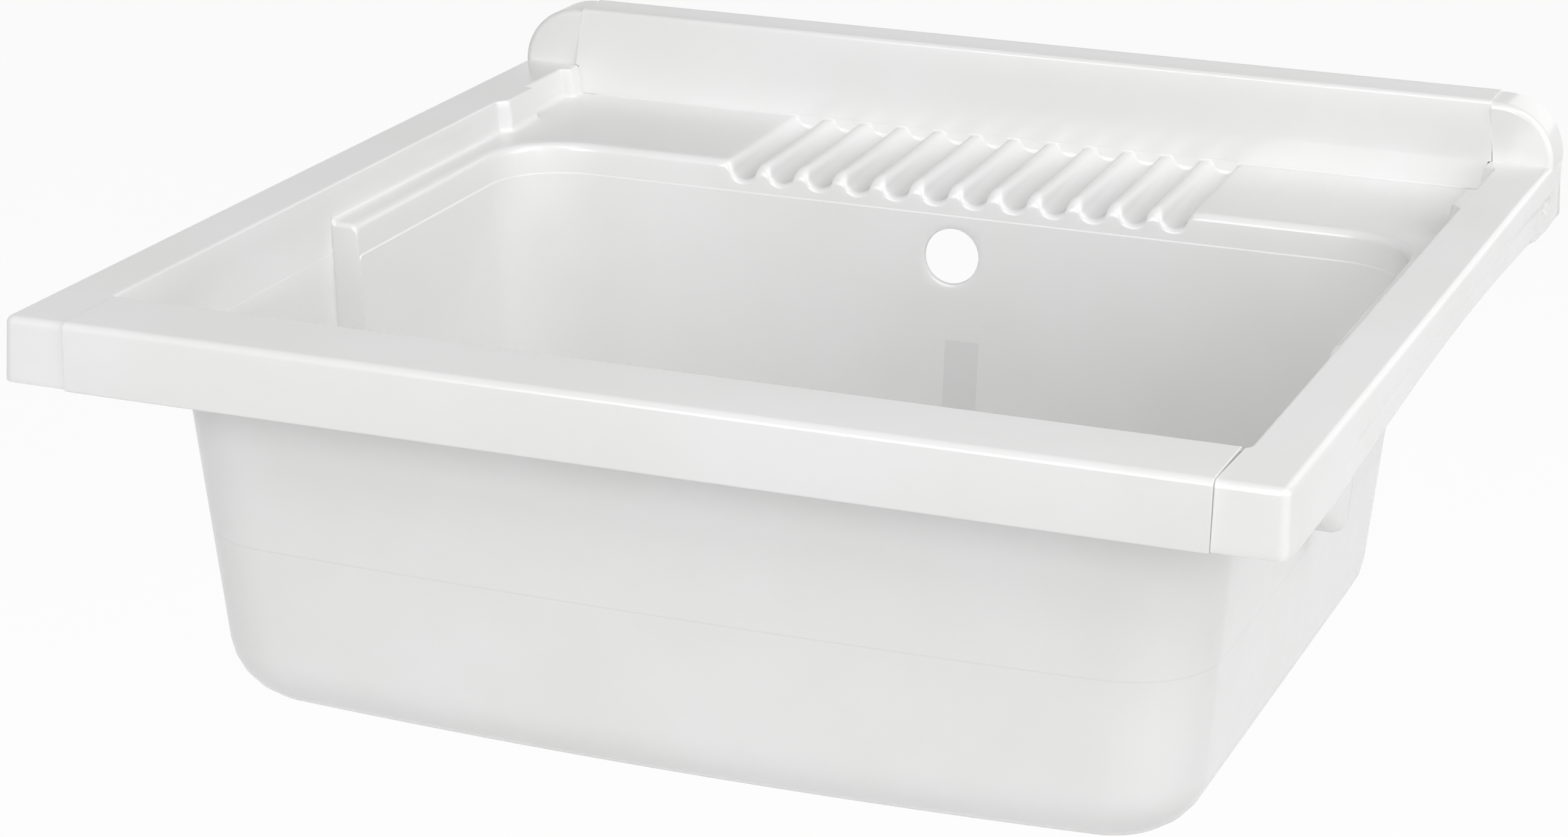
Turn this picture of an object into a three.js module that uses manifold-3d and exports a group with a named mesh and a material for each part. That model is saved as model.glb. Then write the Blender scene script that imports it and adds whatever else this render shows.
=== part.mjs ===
// Utility laundry sink, 600 x 600 mm, with a moulded washboard behind the bowl.
// Millimetres, +Z up. x runs to the right, y runs from the front edge (-600) to the wall (0), and z is 0 on
// the top of the rim. The origin is the middle of the wall face at rim height.
import * as THREE from "three";
import { mergeVertices } from "three/addons/utils/BufferGeometryUtils.js";
import Module from "manifold-3d";

const wasm = await Module();
wasm.setup();

// ---- driving dimensions -------------------------------------------------------------------------
const width = 600; // over the lower edges of the side skirts
const depth = 600; // from the wall to the face of the front cover
const skirtHeight = 31;
const skirtFlare = 1.5; // each skirt leans out by this much over its height
const edgeRound = 3.5; // outer top edges of the rim
const wall = 3;
const fitGap = 0.3; // between pieces that touch
const proud = 1; // the two covers stand this far out of the moulded corners

const sideRail = 30.5; // width of the rim's sides, measured on top
const frontRail = 47;
const frontSeam = 266.7; // half the length of the front cover
const splashSeam = 263.6; // half the length of the splash cover below the rim's top
const splashSeamFoot = 266.1; // the same where the cover stands on the rim
const splashSeamTop = 263.1; // the same at its top edge
const splashThickness = 30;
const splashHeight = 32.8; // of the cover, above the rim
const splashLean = 2.3; // its face leans back by this much above the rim

const deckLevel = -16; // the shelf behind the bowl, where it meets the splash
const deckFall = 2; // it falls this far towards the bowl, and stays at that level beside the bowl
const deckFoot = 5; // hollow fillet where the rim's inner walls meet the deck
const wallDraft = 1.5; // of the rim's inner walls over their height
const lipRound = 4.5; // round edge where the deck turns down into the bowl

const bowlDepth = 208; // outside, below the rim
const bowlHalfWidth = 258; // outside, at rim height
const bowlFront = -549; // outside, at rim height
const bowlBack = -129; // outside, at rim height
const sideDraft = 17.5; // each over the whole depth
const frontDraft = 23.5;
const backDraft = 12;
const bowlCorner = 45; // outside corner radius
const bowlFillet = 30; // outside, between walls and floor
const frontBow = 8.7; // the front wall bows out by this much at the floor
const stepLevel = -34.3; // fine line that runs round the bowl's wall
const stepInset = 0.6;
const floorFall = 3; // the floor falls this far towards the drain

const pocketEnd = -335; // the bowl's front half is wider than its rear half, down to a sloping pocket floor
const pocketHalfWidth = 269; // at rim height
const pocketDraft = 0.05; // mm per mm of depth
const pocketDepth = 108; // at its rear end

const grooveCount = 12;
const groovePitch = 22;
const grooveDepthBack = 6.5;
const grooveDepthFront = 10;
const grooveRound = 7; // radius of the hollow
const ridgeRound = 4.1; // radius of its two shoulders
const ridgeNose = 11; // radius with which the ridges turn down at their front ends

const overflowRadius = 15;
const overflowLevel = -56.5;
const drain = new THREE.Vector2(0, -270);
const drainRadius = 27;

const white = new THREE.MeshStandardMaterial({ color: 0xe9eaea, roughness: 0.34, metalness: 0 });
const steel = new THREE.MeshStandardMaterial({ color: 0xc9cccd, roughness: 0.25, metalness: 1 });
const rubber = new THREE.MeshStandardMaterial({ color: 0x2b2c2e, roughness: 0.7, metalness: 0 });
const fitting = new THREE.MeshStandardMaterial({ color: 0xd9dad8, roughness: 0.45, metalness: 0 });

// ---- closed solids, joins and cuts --------------------------------------------------------------

// A closed geometry as a solid whose faces point out.
function solidOf(geometry) {
  const bare = geometry.clone();
  bare.deleteAttribute("normal");
  bare.deleteAttribute("uv");
  const merged = mergeVertices(bare, 1e-4);
  const vertProperties = merged.attributes.position.array;
  const triVerts = new Uint32Array(merged.index.array);
  const solid = new wasm.Manifold(new wasm.Mesh({ numProp: 3, vertProperties, triVerts }));
  if (solid.volume() >= 0) return solid;
  for (let i = 0; i < triVerts.length; i += 3) {
    [triVerts[i + 1], triVerts[i + 2]] = [triVerts[i + 2], triVerts[i + 1]];
  }
  return new wasm.Manifold(new wasm.Mesh({ numProp: 3, vertProperties, triVerts }));
}

function join(solids) {
  return solids.reduce((sum, solid) => sum.add(solid));
}

function cut(solid, tools) {
  return tools.reduce((rest, tool) => rest.subtract(tool), solid);
}

function meshOf(name, solid, material) {
  const made = solid.getMesh();
  const positions = new Float32Array(made.numVert * 3);
  for (let i = 0; i < made.numVert; i++) {
    positions.set(made.vertProperties.subarray(i * made.numProp, i * made.numProp + 3), i * 3);
  }
  const geometry = new THREE.BufferGeometry();
  geometry.setAttribute("position", new THREE.BufferAttribute(positions, 3));
  geometry.setIndex(new THREE.BufferAttribute(new Uint32Array(made.triVerts), 1));
  geometry.computeVertexNormals();
  const mesh = new THREE.Mesh(geometry, material);
  mesh.name = name;
  return mesh;
}

function box(x0, x1, y0, y1, z0, z1) {
  const geometry = new THREE.BoxGeometry(x1 - x0, y1 - y0, z1 - z0);
  geometry.translate((x0 + x1) / 2, (y0 + y1) / 2, (z0 + z1) / 2);
  return solidOf(geometry);
}

// A round bar between two points.
function bar(from, to, radius, sides = 24) {
  const along = new THREE.Vector3().subVectors(to, from);
  const geometry = new THREE.CylinderGeometry(radius, radius, along.length(), sides);
  const turn = new THREE.Quaternion();
  turn.setFromUnitVectors(new THREE.Vector3(0, 1, 0), along.clone().normalize());
  geometry.applyQuaternion(turn);
  geometry.translate((from.x + to.x) / 2, (from.y + to.y) / 2, (from.z + to.z) / 2);
  return solidOf(geometry);
}

// A surface of loops of equal length, one after the other, closed at both ends by fans.
function loft(loops) {
  const count = loops[0].length;
  const points = loops.flat();
  const faces = [];
  for (let level = 0; level + 1 < loops.length; level++) {
    for (let i = 0; i < count; i++) {
      const a = level * count + i;
      const b = level * count + ((i + 1) % count);
      faces.push(a, b, b + count, a, b + count, a + count);
    }
  }
  const last = (loops.length - 1) * count;
  [0, last].forEach((first) => {
    const loop = points.slice(first, first + count);
    const centre = loop.reduce((sum, p) => sum.add(p), new THREE.Vector3()).divideScalar(count);
    points.push(centre);
    for (let i = 0; i < count; i++) {
      const a = first + i;
      const b = first + ((i + 1) % count);
      if (first === 0) faces.push(b, a, points.length - 1);
      else faces.push(a, b, points.length - 1);
    }
  });
  const geometry = new THREE.BufferGeometry().setFromPoints(points);
  geometry.setIndex(faces);
  return solidOf(geometry);
}

// A profile in the plane of y and z, run along x. Its points are [y, z].
function alongX(profile, x0, x1) {
  const shape = new THREE.Shape(profile.map(([y, z]) => new THREE.Vector2(y, z)));
  const geometry = new THREE.ExtrudeGeometry(shape, { depth: x1 - x0, bevelEnabled: false });
  // the shape's own x, y and depth become y, z and x
  const basis = new THREE.Matrix4().set(0, 0, 1, x0, 1, 0, 0, 0, 0, 1, 0, 0, 0, 0, 0, 1);
  geometry.applyMatrix4(basis);
  return solidOf(geometry);
}

// An outline in the plane of x and z, run along y. Its points are [x, z].
function alongY(outline, y0, y1) {
  return loft([y0, y1].map((y) => outline.map(([x, z]) => new THREE.Vector3(x, y, z))));
}

// A profile of [radius, z] turned about the upright axis through (x, y).
function turned(profile, centre, sides = 32) {
  const points = profile.map(([radius, z]) => new THREE.Vector2(radius, z));
  const geometry = new THREE.LatheGeometry(points, sides);
  geometry.rotateX(Math.PI / 2);
  geometry.translate(centre.x, centre.y, 0);
  return solidOf(geometry);
}

// Points of an arc in a plane, as [a, b] pairs, angles in degrees.
function arc(a, b, radius, from, to, steps) {
  const points = [];
  for (let i = 0; i <= steps; i++) {
    const angle = THREE.MathUtils.degToRad(from + ((to - from) * i) / steps);
    points.push([a + radius * Math.cos(angle), b + radius * Math.sin(angle)]);
  }
  return points;
}

// A box-like loop at height z with round corners, anticlockwise from above. Its front edge bows out.
function roundLoop({ half, front, back, radius, z, bow = 0, cornerSteps = 7 }) {
  const loop = [
    ...arc(half - radius, back - radius, radius, 0, 90, cornerSteps),
    ...arc(radius - half, back - radius, radius, 90, 180, cornerSteps),
    ...arc(radius - half, front + radius, radius, 180, 270, cornerSteps),
  ];
  const bowSteps = 8;
  for (let i = 1; i < bowSteps; i++) {
    const across = -1 + (2 * i) / bowSteps;
    loop.push([across * (half - radius), front - bow * (1 - across * across)]);
  }
  loop.push(...arc(half - radius, front + radius, radius, 270, 360, cornerSteps));
  return loop.map(([x, y]) => new THREE.Vector3(x, y, z));
}

// ---- the bowl -----------------------------------------------------------------------------------

// The bowl's loop at height z, moved in by inset from the outside of its wall.
function bowlLoop(z, inset) {
  const down = -z / bowlDepth;
  return roundLoop({
    half: bowlHalfWidth - sideDraft * down - inset,
    front: bowlFront + frontDraft * down + inset,
    back: bowlBack - backDraft * down - inset,
    radius: bowlCorner - inset,
    bow: frontBow * down,
    z,
  });
}

// The last loop of the floor, round the drain: each point lies in the direction of the loop before it.
function drainLoop(loop, radius, z) {
  return loop.map((point) => {
    const angle = Math.atan2(point.y - drain.y, point.x - drain.x);
    return new THREE.Vector3(drain.x + radius * Math.cos(angle), drain.y + radius * Math.sin(angle), z);
  });
}

// Floor, fillet and upright wall from the drain up to stopLevel, as loops from the bottom to the top.
function bowlShellLoops(inset, floorLevel, fillet, stopLevel) {
  const filletSteps = 6;
  const loops = [];
  for (let i = filletSteps; i >= 0; i--) {
    const angle = (i / filletSteps) * (Math.PI / 2);
    const z = floorLevel + fillet * (1 - Math.sin(angle));
    loops.push(bowlLoop(z, inset + fillet * (1 - Math.cos(angle))));
  }
  const drainRim = drainLoop(loops[0], drainRadius + 12, floorLevel - floorFall);
  return [drainRim, ...loops, bowlLoop(stopLevel, inset)];
}

function bowlOutside() {
  return loft(bowlShellLoops(0, -bowlDepth, bowlFillet, deckLevel + 4));
}

const lipLevel = deckLevel - deckFall;

// The hollow of the bowl, with the fine line in its wall and the round lip at deck height.
function bowlInside() {
  const below = bowlShellLoops(wall + stepInset, wall - bowlDepth, bowlFillet - wall, stepLevel - 0.4);
  const lipSteps = 4;
  const lip = [bowlLoop(stepLevel, wall)];
  for (let i = lipSteps; i >= 0; i--) {
    const angle = (i / lipSteps) * (Math.PI / 2);
    const z = lipLevel - lipRound * (1 - Math.cos(angle));
    lip.push(bowlLoop(z, wall - lipRound * (1 - Math.sin(angle))));
  }
  lip.push(bowlLoop(deckLevel + 1, wall - lipRound));
  return loft([...below, ...lip]);
}

// The wider front half: a pocket in each side wall that deepens towards its rear end. With grow it is the
// pocket's outside.
function pocket(side, grow) {
  const hollowRound = 3;
  const edgeRoundOut = 4; // where the pocket's end face turns into the bowl's wall
  const rear = pocketEnd + grow;
  const front = bowlFront + 8;
  const loopAt = (z) => {
    const outer = pocketHalfWidth + pocketDraft * z + grow;
    const inner = bowlHalfWidth - wall - sideDraft * (-z / bowlDepth);
    const turnIn = arc(inner - edgeRoundOut, rear + edgeRoundOut, edgeRoundOut, 0, -90, 4);
    const outline = [
      [inner - 30, front],
      [outer, front],
      ...arc(outer - hollowRound, rear - hollowRound, hollowRound, 0, 90, 3),
      ...(grow > 0 ? [[inner, rear]] : turnIn),
      [inner - 30, rear],
    ];
    return outline.map(([x, y]) => new THREE.Vector3(side * x, y, z));
  };
  const block = loft([loopAt(-pocketDepth - 8), loopAt(grow > 0 ? -4 : -8)]);
  const lowest = -pocketDepth - 40;
  // what lies under the pocket's sloping floor is taken off
  const below = [
    [bowlFront, -4 - grow],
    [bowlFront, lowest],
    [rear + 10, lowest],
    [rear + 10, -pocketDepth - grow],
    [pocketEnd, -pocketDepth - grow],
  ];
  return cut(block, [alongX(below, -width, width)]);
}

// ---- the washboard ------------------------------------------------------------------------------

const boardHalf = (grooveCount * groovePitch) / 2;
const boardBack = -splashThickness - fitGap;
const boardFront = bowlBack - wall - lipRound - 2;
const deckFront = bowlBack + 3;

// Level of the deck: it falls gently from the splash to the bowl.
function deckHeight(y) {
  return deckLevel - deckFall * THREE.MathUtils.clamp((boardBack - y) / (boardBack - deckFront), 0, 1);
}

// Depth of a groove at a distance from its middle line. Its section is a round hollow between two round
// shoulders, cut to the given depth: a deeper groove is wider and has steeper walls.
function grooveSection(distance, depth) {
  const both = grooveRound + ridgeRound;
  const steep = Math.acos(1 - depth / both);
  const turn = grooveRound * Math.sin(steep);
  const end = both * Math.sin(steep);
  if (distance >= end) return 0;
  if (distance <= turn) return depth - grooveRound + Math.sqrt(grooveRound ** 2 - distance ** 2);
  return ridgeRound - Math.sqrt(ridgeRound ** 2 - (end - distance) ** 2);
}

// Height of the washboard: grooves that deepen towards the bowl, between ridges that turn down in a round
// nose.
function boardHeight(x, y) {
  const toFront = THREE.MathUtils.clamp((boardBack - y) / (boardBack - bowlBack), 0, 1);
  const depth = THREE.MathUtils.lerp(grooveDepthBack, grooveDepthFront, toFront);
  const along = (x + boardHalf) / groovePitch;
  const groove = grooveSection(Math.abs(along - Math.floor(along) - 0.5) * groovePitch, depth);
  const noseStart = boardFront + ridgeNose + 1;
  const past = THREE.MathUtils.clamp((noseStart - y) / ridgeNose, 0, 0.98);
  const nose = ridgeNose * (1 - Math.sqrt(1 - past * past));
  return deckHeight(y) - 0.02 - Math.max(groove, nose * (1 - groove / (3 * depth)));
}

// A closed slab over a grid, between two surfaces that are functions of x and y.
function slab(xs, ys, lower, upper) {
  const columns = xs.length;
  const rows = ys.length;
  const points = [];
  [lower, upper].forEach((height) => {
    ys.forEach((y) => xs.forEach((x) => points.push(new THREE.Vector3(x, y, height(x, y)))));
  });
  const at = (layer, row, column) => layer * columns * rows + row * columns + column;
  const faces = [];
  const quad = (a, b, c, d) => faces.push(a, b, c, a, c, d);
  for (let row = 0; row + 1 < rows; row++) {
    for (let column = 0; column + 1 < columns; column++) {
      quad(at(0, row, column), at(0, row + 1, column), at(0, row + 1, column + 1), at(0, row, column + 1));
      quad(at(1, row, column), at(1, row, column + 1), at(1, row + 1, column + 1), at(1, row + 1, column));
    }
  }
  for (let column = 0; column + 1 < columns; column++) {
    quad(at(0, 0, column), at(0, 0, column + 1), at(1, 0, column + 1), at(1, 0, column));
    const end = rows - 1;
    quad(at(0, end, column + 1), at(0, end, column), at(1, end, column), at(1, end, column + 1));
  }
  for (let row = 0; row + 1 < rows; row++) {
    quad(at(0, row + 1, 0), at(0, row, 0), at(1, row, 0), at(1, row + 1, 0));
    const end = columns - 1;
    quad(at(0, row, end), at(0, row + 1, end), at(1, row + 1, end), at(1, row, end));
  }
  const geometry = new THREE.BufferGeometry().setFromPoints(points);
  geometry.setIndex(faces);
  return solidOf(geometry);
}

function range(from, to, steps) {
  return Array.from({ length: steps + 1 }, (_, i) => from + ((to - from) * i) / steps);
}

// Stations across the board, each a share of a groove's width, and stations along it.
const acrossGroove = [0, 0.09, 0.19, 0.31, 0.5, 0.69, 0.81, 0.91];
const acrossUnderside = [0, 0.25, 0.5, 0.75];
const boardXs = (shares) => {
  const grooves = range(0, grooveCount - 1, grooveCount - 1);
  const places = grooves.flatMap((i) => shares.map((share) => (i + share) * groovePitch));
  return [...places, grooveCount * groovePitch].map((x) => x - boardHalf);
};
const boardYs = [...range(boardFront, boardFront + ridgeNose, 4), boardFront + 2 * ridgeNose, boardBack];

function washboardHollow() {
  return slab(boardXs(acrossGroove), boardYs, boardHeight, () => deckLevel + 2);
}

// What the space under the deck has to leave: the washboard's own wall.
function washboardBody() {
  const under = (x, y) => boardHeight(x, y) - wall;
  const ys = [boardFront, boardFront + 2 * ridgeNose, boardBack];
  return slab(boardXs(acrossUnderside), ys, under, () => deckLevel + 2);
}

// ---- the tub ------------------------------------------------------------------------------------

// The whole rim as one block: round top edges, skirts that lean out, a flat back.
function rimBlock() {
  const top = width / 2 - skirtFlare;
  const front = proud + skirtFlare - depth;
  const rounds = 4;
  const loops = [];
  const loopAt = (z, out) => {
    const half = top + out;
    const y = front - out;
    return [
      [half, 0],
      [-half, 0],
      [-half, y],
      [half, y],
    ].map(([x, v]) => new THREE.Vector3(x, v, z));
  };
  loops.push(loopAt(-skirtHeight, skirtFlare));
  for (let i = 0; i <= rounds; i++) {
    const angle = (i / rounds) * (Math.PI / 2);
    loops.push(loopAt(-edgeRound * (1 - Math.sin(angle)), -edgeRound * (1 - Math.cos(angle))));
  }
  return loft(loops);
}

// The recess inside the rim: its walls lean in and end in a hollow fillet at the level of the bowl's lip.
function recess(grow) {
  const half = width / 2 - sideRail;
  const front = frontRail - depth;
  const back = -splashThickness + 1;
  const loopAt = (z, inset) => roundLoop({
    half: half - inset + grow,
    front: front + inset - grow,
    back: back + grow,
    radius: 4,
    cornerSteps: 3,
    z,
  });
  if (grow > 0) return loft([loopAt(lipLevel - wall, wallDraft), loopAt(6, 0)]);
  const steps = 4;
  const loops = [];
  for (let i = 0; i <= steps; i++) {
    const angle = (i / steps) * (Math.PI / 2);
    const inset = wallDraft + deckFoot * (1 - Math.sin(angle));
    loops.push(loopAt(lipLevel + deckFoot * (1 - Math.cos(angle)), inset));
  }
  loops.push(loopAt(-0.8, 0.1), loopAt(0, -0.7), loopAt(6, -0.7));
  return loft(loops);
}

// The rear deck's fall: a wedge that lies in the recess behind the bowl.
function deckWedge() {
  const half = width / 2 - sideRail;
  const profile = [
    [deckFront, lipLevel - 0.5],
    [coreFront + 1, lipLevel - 0.5],
    [coreFront + 1, deckLevel],
    [boardBack, deckLevel],
    [deckFront, lipLevel],
  ];
  return alongX(profile, -half, half);
}

// The jogs in the rim's inner side walls: a pad 36 mm long, and a short one next to the splash.
function railJogs(side) {
  const face = width / 2 - sideRail;
  const jog = (y0, y1, reach, round) => {
    const outline = new THREE.Shape();
    outline.moveTo(side * (face + 4), y0 - round);
    outline.quadraticCurveTo(side * (face - reach), y0 - round, side * (face - reach), y0 + round);
    outline.lineTo(side * (face - reach), y1 - 1);
    outline.lineTo(side * (face - reach + 1), y1);
    outline.lineTo(side * (face + 4), y1);
    const options = { depth: -lipLevel, bevelEnabled: false, curveSegments: 5 };
    const geometry = new THREE.ExtrudeGeometry(outline, options);
    geometry.translate(0, 0, lipLevel - 0.01);
    return solidOf(geometry);
  };
  const toSplash = face - splashSeam - 2 * fitGap;
  return join([jog(-128, -92, 5, 4), jog(-42, coreFront, toSplash, 3)]);
}

// The splash cover seen from the front: narrow between the rim's inner walls, and tapered above the rim.
function splashOutline(gap) {
  const left = [
    [-splashSeam - gap, deckLevel - 5],
    [-splashSeam - gap, fitGap - gap],
    [-splashSeamFoot - gap, fitGap - gap],
    [-splashSeamTop - gap, splashHeight + 2],
  ];
  const right = left.map(([x, z]) => [-x, z]).reverse();
  return [...left, ...right];
}

// The quarter-round end of the splash, moulded with the rim. Its side towards the cover follows the cover's
// taper.
function splashEnd(side, shrink) {
  const radius = splashHeight - proud;
  const centre = width / 2 - skirtFlare - radius;
  const frontFace = proud / 2 - splashThickness + 1;
  const seam = (z) => THREE.MathUtils.lerp(splashSeamFoot, splashSeamTop, z / splashHeight);
  const taper = (z) => seam(z) + fitGap + shrink;
  const place = (y, inset) => {
    const outline = [
      [taper(0), -2 - shrink],
      [taper(radius), radius - inset],
      ...arc(centre, 0, radius - inset, 90, 0, 9).slice(1),
      [centre + radius - inset, -2 - shrink],
    ];
    return outline.map(([x, z]) => new THREE.Vector3(side * x, y, z));
  };
  if (shrink > 0) return loft([place(frontFace + shrink, shrink), place(-wall, shrink)]);
  const frontRound = 4;
  const rounded = range(0, 90, 3).map((degrees) => {
    const angle = THREE.MathUtils.degToRad(degrees);
    return place(frontFace + frontRound * (1 - Math.sin(angle)), frontRound * (1 - Math.cos(angle)));
  });
  return loft([...rounded.reverse(), place(0, 0)]);
}

// The wall that stands inside the splash cover.
const coreFront = -splashThickness + wall + fitGap + splashLean;
function splashCore() {
  const top = splashHeight - wall - fitGap;
  return box(-splashSeam - 4, splashSeam + 4, coreFront, coreFront + wall, deckLevel - wall, top);
}

// Space under the rim and the deck, with everything left standing that carries the sink.
function underside() {
  const inner = width / 2 - skirtFlare - 4;
  const space = box(-inner, inner, proud - depth + 5, -wall, -skirtHeight - 20, -wall);
  const frontPlate = box(-inner, inner, -depth, bowlFront + 10, -2 * wall - fitGap - proud, 0);
  const keep = [
    bowlOutside(),
    pocket(1, wall),
    pocket(-1, wall),
    recess(wall),
    washboardBody(),
    frontPlate,
    box(-splashSeam - wall, splashSeam + wall, coreFront, 0, deckLevel - wall, 0),
    ...stiffeningRibs(),
  ];
  return cut(space, keep);
}

const ribThickness = 2.5;

// Upright ribs that tie the skirts and the deck to the bowl.
function stiffeningRibs() {
  const ribs = [];
  [-205, -150, 150, 205].forEach((x) => {
    const [left, right] = [x - ribThickness / 2, x + ribThickness / 2];
    ribs.push(box(left, right, bowlBack - 8, -1, -skirtHeight + 4, deckLevel));
  });
  [-480, -400, -260, -180].forEach((y) => {
    [-1, 1].forEach((side) => {
      const reach = [side * (bowlHalfWidth - 8), side * (width / 2 - 3)].sort((a, b) => a - b);
      ribs.push(box(reach[0], reach[1], y - ribThickness / 2, y + ribThickness / 2, -21, -1));
    });
  });
  [-140, 0, 140].forEach((x) => {
    ribs.push(box(x - ribThickness / 2, x + ribThickness / 2, 5 - depth, bowlFront + 6, -24, -5));
  });
  return ribs;
}

// Cuts that shape the side skirt: the arched lower edge and the sloping lens above it.
function skirtCuts(side) {
  const archRise = 6;
  const archFront = -455;
  const archBack = -45;
  const arch = [[archFront, -skirtHeight - 5]];
  range(0, 1, 12).forEach((t) => {
    const y = THREE.MathUtils.lerp(archFront, archBack, t);
    arch.push([y, -skirtHeight - 0.01 + archRise * Math.sin(Math.PI * t) ** 0.9]);
  });
  arch.push([archBack, -skirtHeight - 5]);
  const span = [side * (width / 2 - 6), side * (width / 2 + 5)].sort((a, b) => a - b);
  const archCut = alongX(arch, span[0], span[1]);
  // the lens: its upper edge runs level, its front tip lies at the lower edge, its rear end slants
  const lens = [
    [-499, -15.4],
    [-450, -12],
    [-390, -10.5],
    [-100, -10.5],
    [-16, -12.4],
    [-75, -skirtHeight - 1],
    [-330, -skirtHeight - 1],
    [-420, -22],
  ];
  const face = width / 2 - skirtFlare;
  const slope = [
    [face + 0.15, -9],
    [face + 6, -9],
    [face + 6, -skirtHeight - 4],
    [face - 1.6, -skirtHeight - 4],
  ];
  const wedge = loft([-505, -10].map((y) => slope.map(([x, z]) => new THREE.Vector3(side * x, y, z))));
  return [archCut, wedge.intersect(alongX(lens, -width, width))];
}

const screwXs = [-210, -70, 70, 210];
const frontScrewY = -576;
const splashScrewZ = 12;
const bossRadius = 4;
// the bosses pass through the part below and end past it
const frontBossEnd = proud - 2 * wall - fitGap - 2.5;
const splashBossEnd = coreFront + wall + 2.5;
const backLipTop = 5; // the wall face reaches this far above the rim, inside the splash cover

function tub() {
  const backLip = box(-splashSeam - 4, splashSeam + 4, -wall, 0, -wall, backLipTop);
  const ends = [splashEnd(1, 0), splashEnd(-1, 0)];
  const body = join([rimBlock(), ...ends, splashCore(), backLip, bowlOutside(), drainBoss()]);
  const pockets = [pocket(1, wall), pocket(-1, wall)];
  const behindCover = (y0, y1, low, high) => {
    const room = box(-width, width, y0, y1, low, high);
    return alongY(splashOutline(fitGap), y0 - 1, y1 + 1).intersect(room);
  };
  const front = frontSeam + fitGap;
  const hollowed = cut(join([body, ...pockets]), [
    recess(0),
    underside(),
    box(-front, front, -depth - 5, frontRail - depth + 0.01, -wall - fitGap + proud, 5),
    box(-front, front, -depth - 5, wall + fitGap - depth, -skirtHeight - 5, 5),
    box(-front, front, -depth - 5, 9 - depth, -skirtHeight - 5, -skirtHeight + 3),
    behindCover(-splashThickness - 2, coreFront, deckLevel, 50),
    behindCover(coreFront + wall, 5, backLipTop, 50),
    behindCover(coreFront + wall, -wall, deckLevel, 50),
    splashEnd(1, wall),
    splashEnd(-1, wall),
  ]);
  const withJogs = join([hollowed, railJogs(1), railJogs(-1), deckWedge()]);
  return cut(withJogs, [
    bowlInside(),
    pocket(1, 0),
    pocket(-1, 0),
    washboardHollow(),
    ...skirtCuts(1),
    ...skirtCuts(-1),
    ...tubHoles(),
  ]);
}

function drainBoss() {
  const under = -bowlDepth - floorFall;
  return turned(
    [
      [0, under + 6],
      [drainRadius + 16, under + 6],
      [drainRadius + 14, under - 4],
      [0, under - 4],
    ],
    drain,
  );
}

function tubHoles() {
  const down = (x, y, z0, z1, radius, sides) =>
    bar(new THREE.Vector3(x, y, z0), new THREE.Vector3(x, y, z1), radius, sides);
  const back = (x, z, y0, y1, radius, sides) =>
    bar(new THREE.Vector3(x, y0, z), new THREE.Vector3(x, y1, z), radius, sides);
  const slot = (x) => [
    back(x, -11, -8, 2, 3.5, 12),
    back(x, -17, -8, 2, 3.5, 12),
    box(x - 3.5, x + 3.5, -8, 2, -17, -11),
  ];
  return [
    back(0, overflowLevel, bowlBack - 20, bowlBack + 20, overflowRadius, 36),
    down(drain.x, drain.y, seatLevel - 10, seatLevel + 10, drainRadius, 32),
    down(drain.x, drain.y, seatLevel, seatLevel + 10, drainRadius + 10, 32),
    ...screwXs.map((x) => down(x, frontScrewY, -20, 5, bossRadius + 0.4, 12)),
    ...screwXs.map((x) => back(x, splashScrewZ, coreFront - 1, coreFront + wall + 1, bossRadius + 0.4, 12)),
    ...slot(-225),
    ...slot(225),
  ];
}

// ---- the two covers -----------------------------------------------------------------------------

function frontCover() {
  const back = frontRail - depth;
  const outer = [
    [back, proud - wall],
    [back, proud - 0.8],
    [back - 0.8, proud],
    ...arc(edgeRound - depth, proud - edgeRound, edgeRound, 90, 180, 5),
    [-depth, -skirtHeight - 0.5 + 1],
    [1 - depth, -skirtHeight - 0.5],
    [7 - depth, -skirtHeight - 0.5],
    [7 - depth, -skirtHeight + 2.2],
    [wall - depth, -skirtHeight + 2.7],
    [wall - depth, proud - wall],
  ];
  const shell = alongX(outer, -frontSeam, frontSeam);
  const at = (x, z) => new THREE.Vector3(x, frontScrewY, z);
  const bosses = screwXs.map((x) => bar(at(x, proud - 1), at(x, frontBossEnd), bossRadius, 12));
  const pilots = screwXs.map((x) => bar(at(x, proud - 1.6), at(x, frontBossEnd - 1), 2, 10));
  return cut(join([shell, ...bosses]), pilots);
}

function splashCover() {
  const foot = deckLevel + fitGap;
  const top = splashHeight;
  const profile = [
    [-splashThickness, foot],
    [-splashThickness, 0],
    ...arc(splashLean - splashThickness + 2.5, top - 2.5, 2.5, 180, 90, 4),
    [-1, top],
    [0, top - 1],
    [0, top - 9],
    [-wall, top - 9],
    [-wall, top - wall],
    [splashLean - splashThickness + wall, top - wall],
    [wall - splashThickness, 0],
    [wall - splashThickness, foot],
  ];
  const shell = alongX(profile, -width, width).intersect(alongY(splashOutline(0), -splashThickness - 1, 1));
  const at = (x, y) => new THREE.Vector3(x, y, splashScrewZ);
  const bosses = screwXs.map((x) => bar(at(x, 2 - splashThickness), at(x, splashBossEnd), bossRadius, 12));
  const pilots = screwXs.map((x) => bar(at(x, 3 - splashThickness), at(x, splashBossEnd + 1), 2, 10));
  return cut(join([shell, ...bosses]), pilots);
}

// A self-tapping screw with a broad head, its head's seat at the origin and its shank along +Z.
function screwSolid() {
  const shank = 6;
  return turned(
    [
      [0, -2.6],
      [4.4, -2],
      [6, -1],
      [6, 0],
      [1.6, 0],
      [1.6, shank - 1.5],
      [0, shank],
    ],
    new THREE.Vector2(0, 0),
    10,
  );
}

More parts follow.
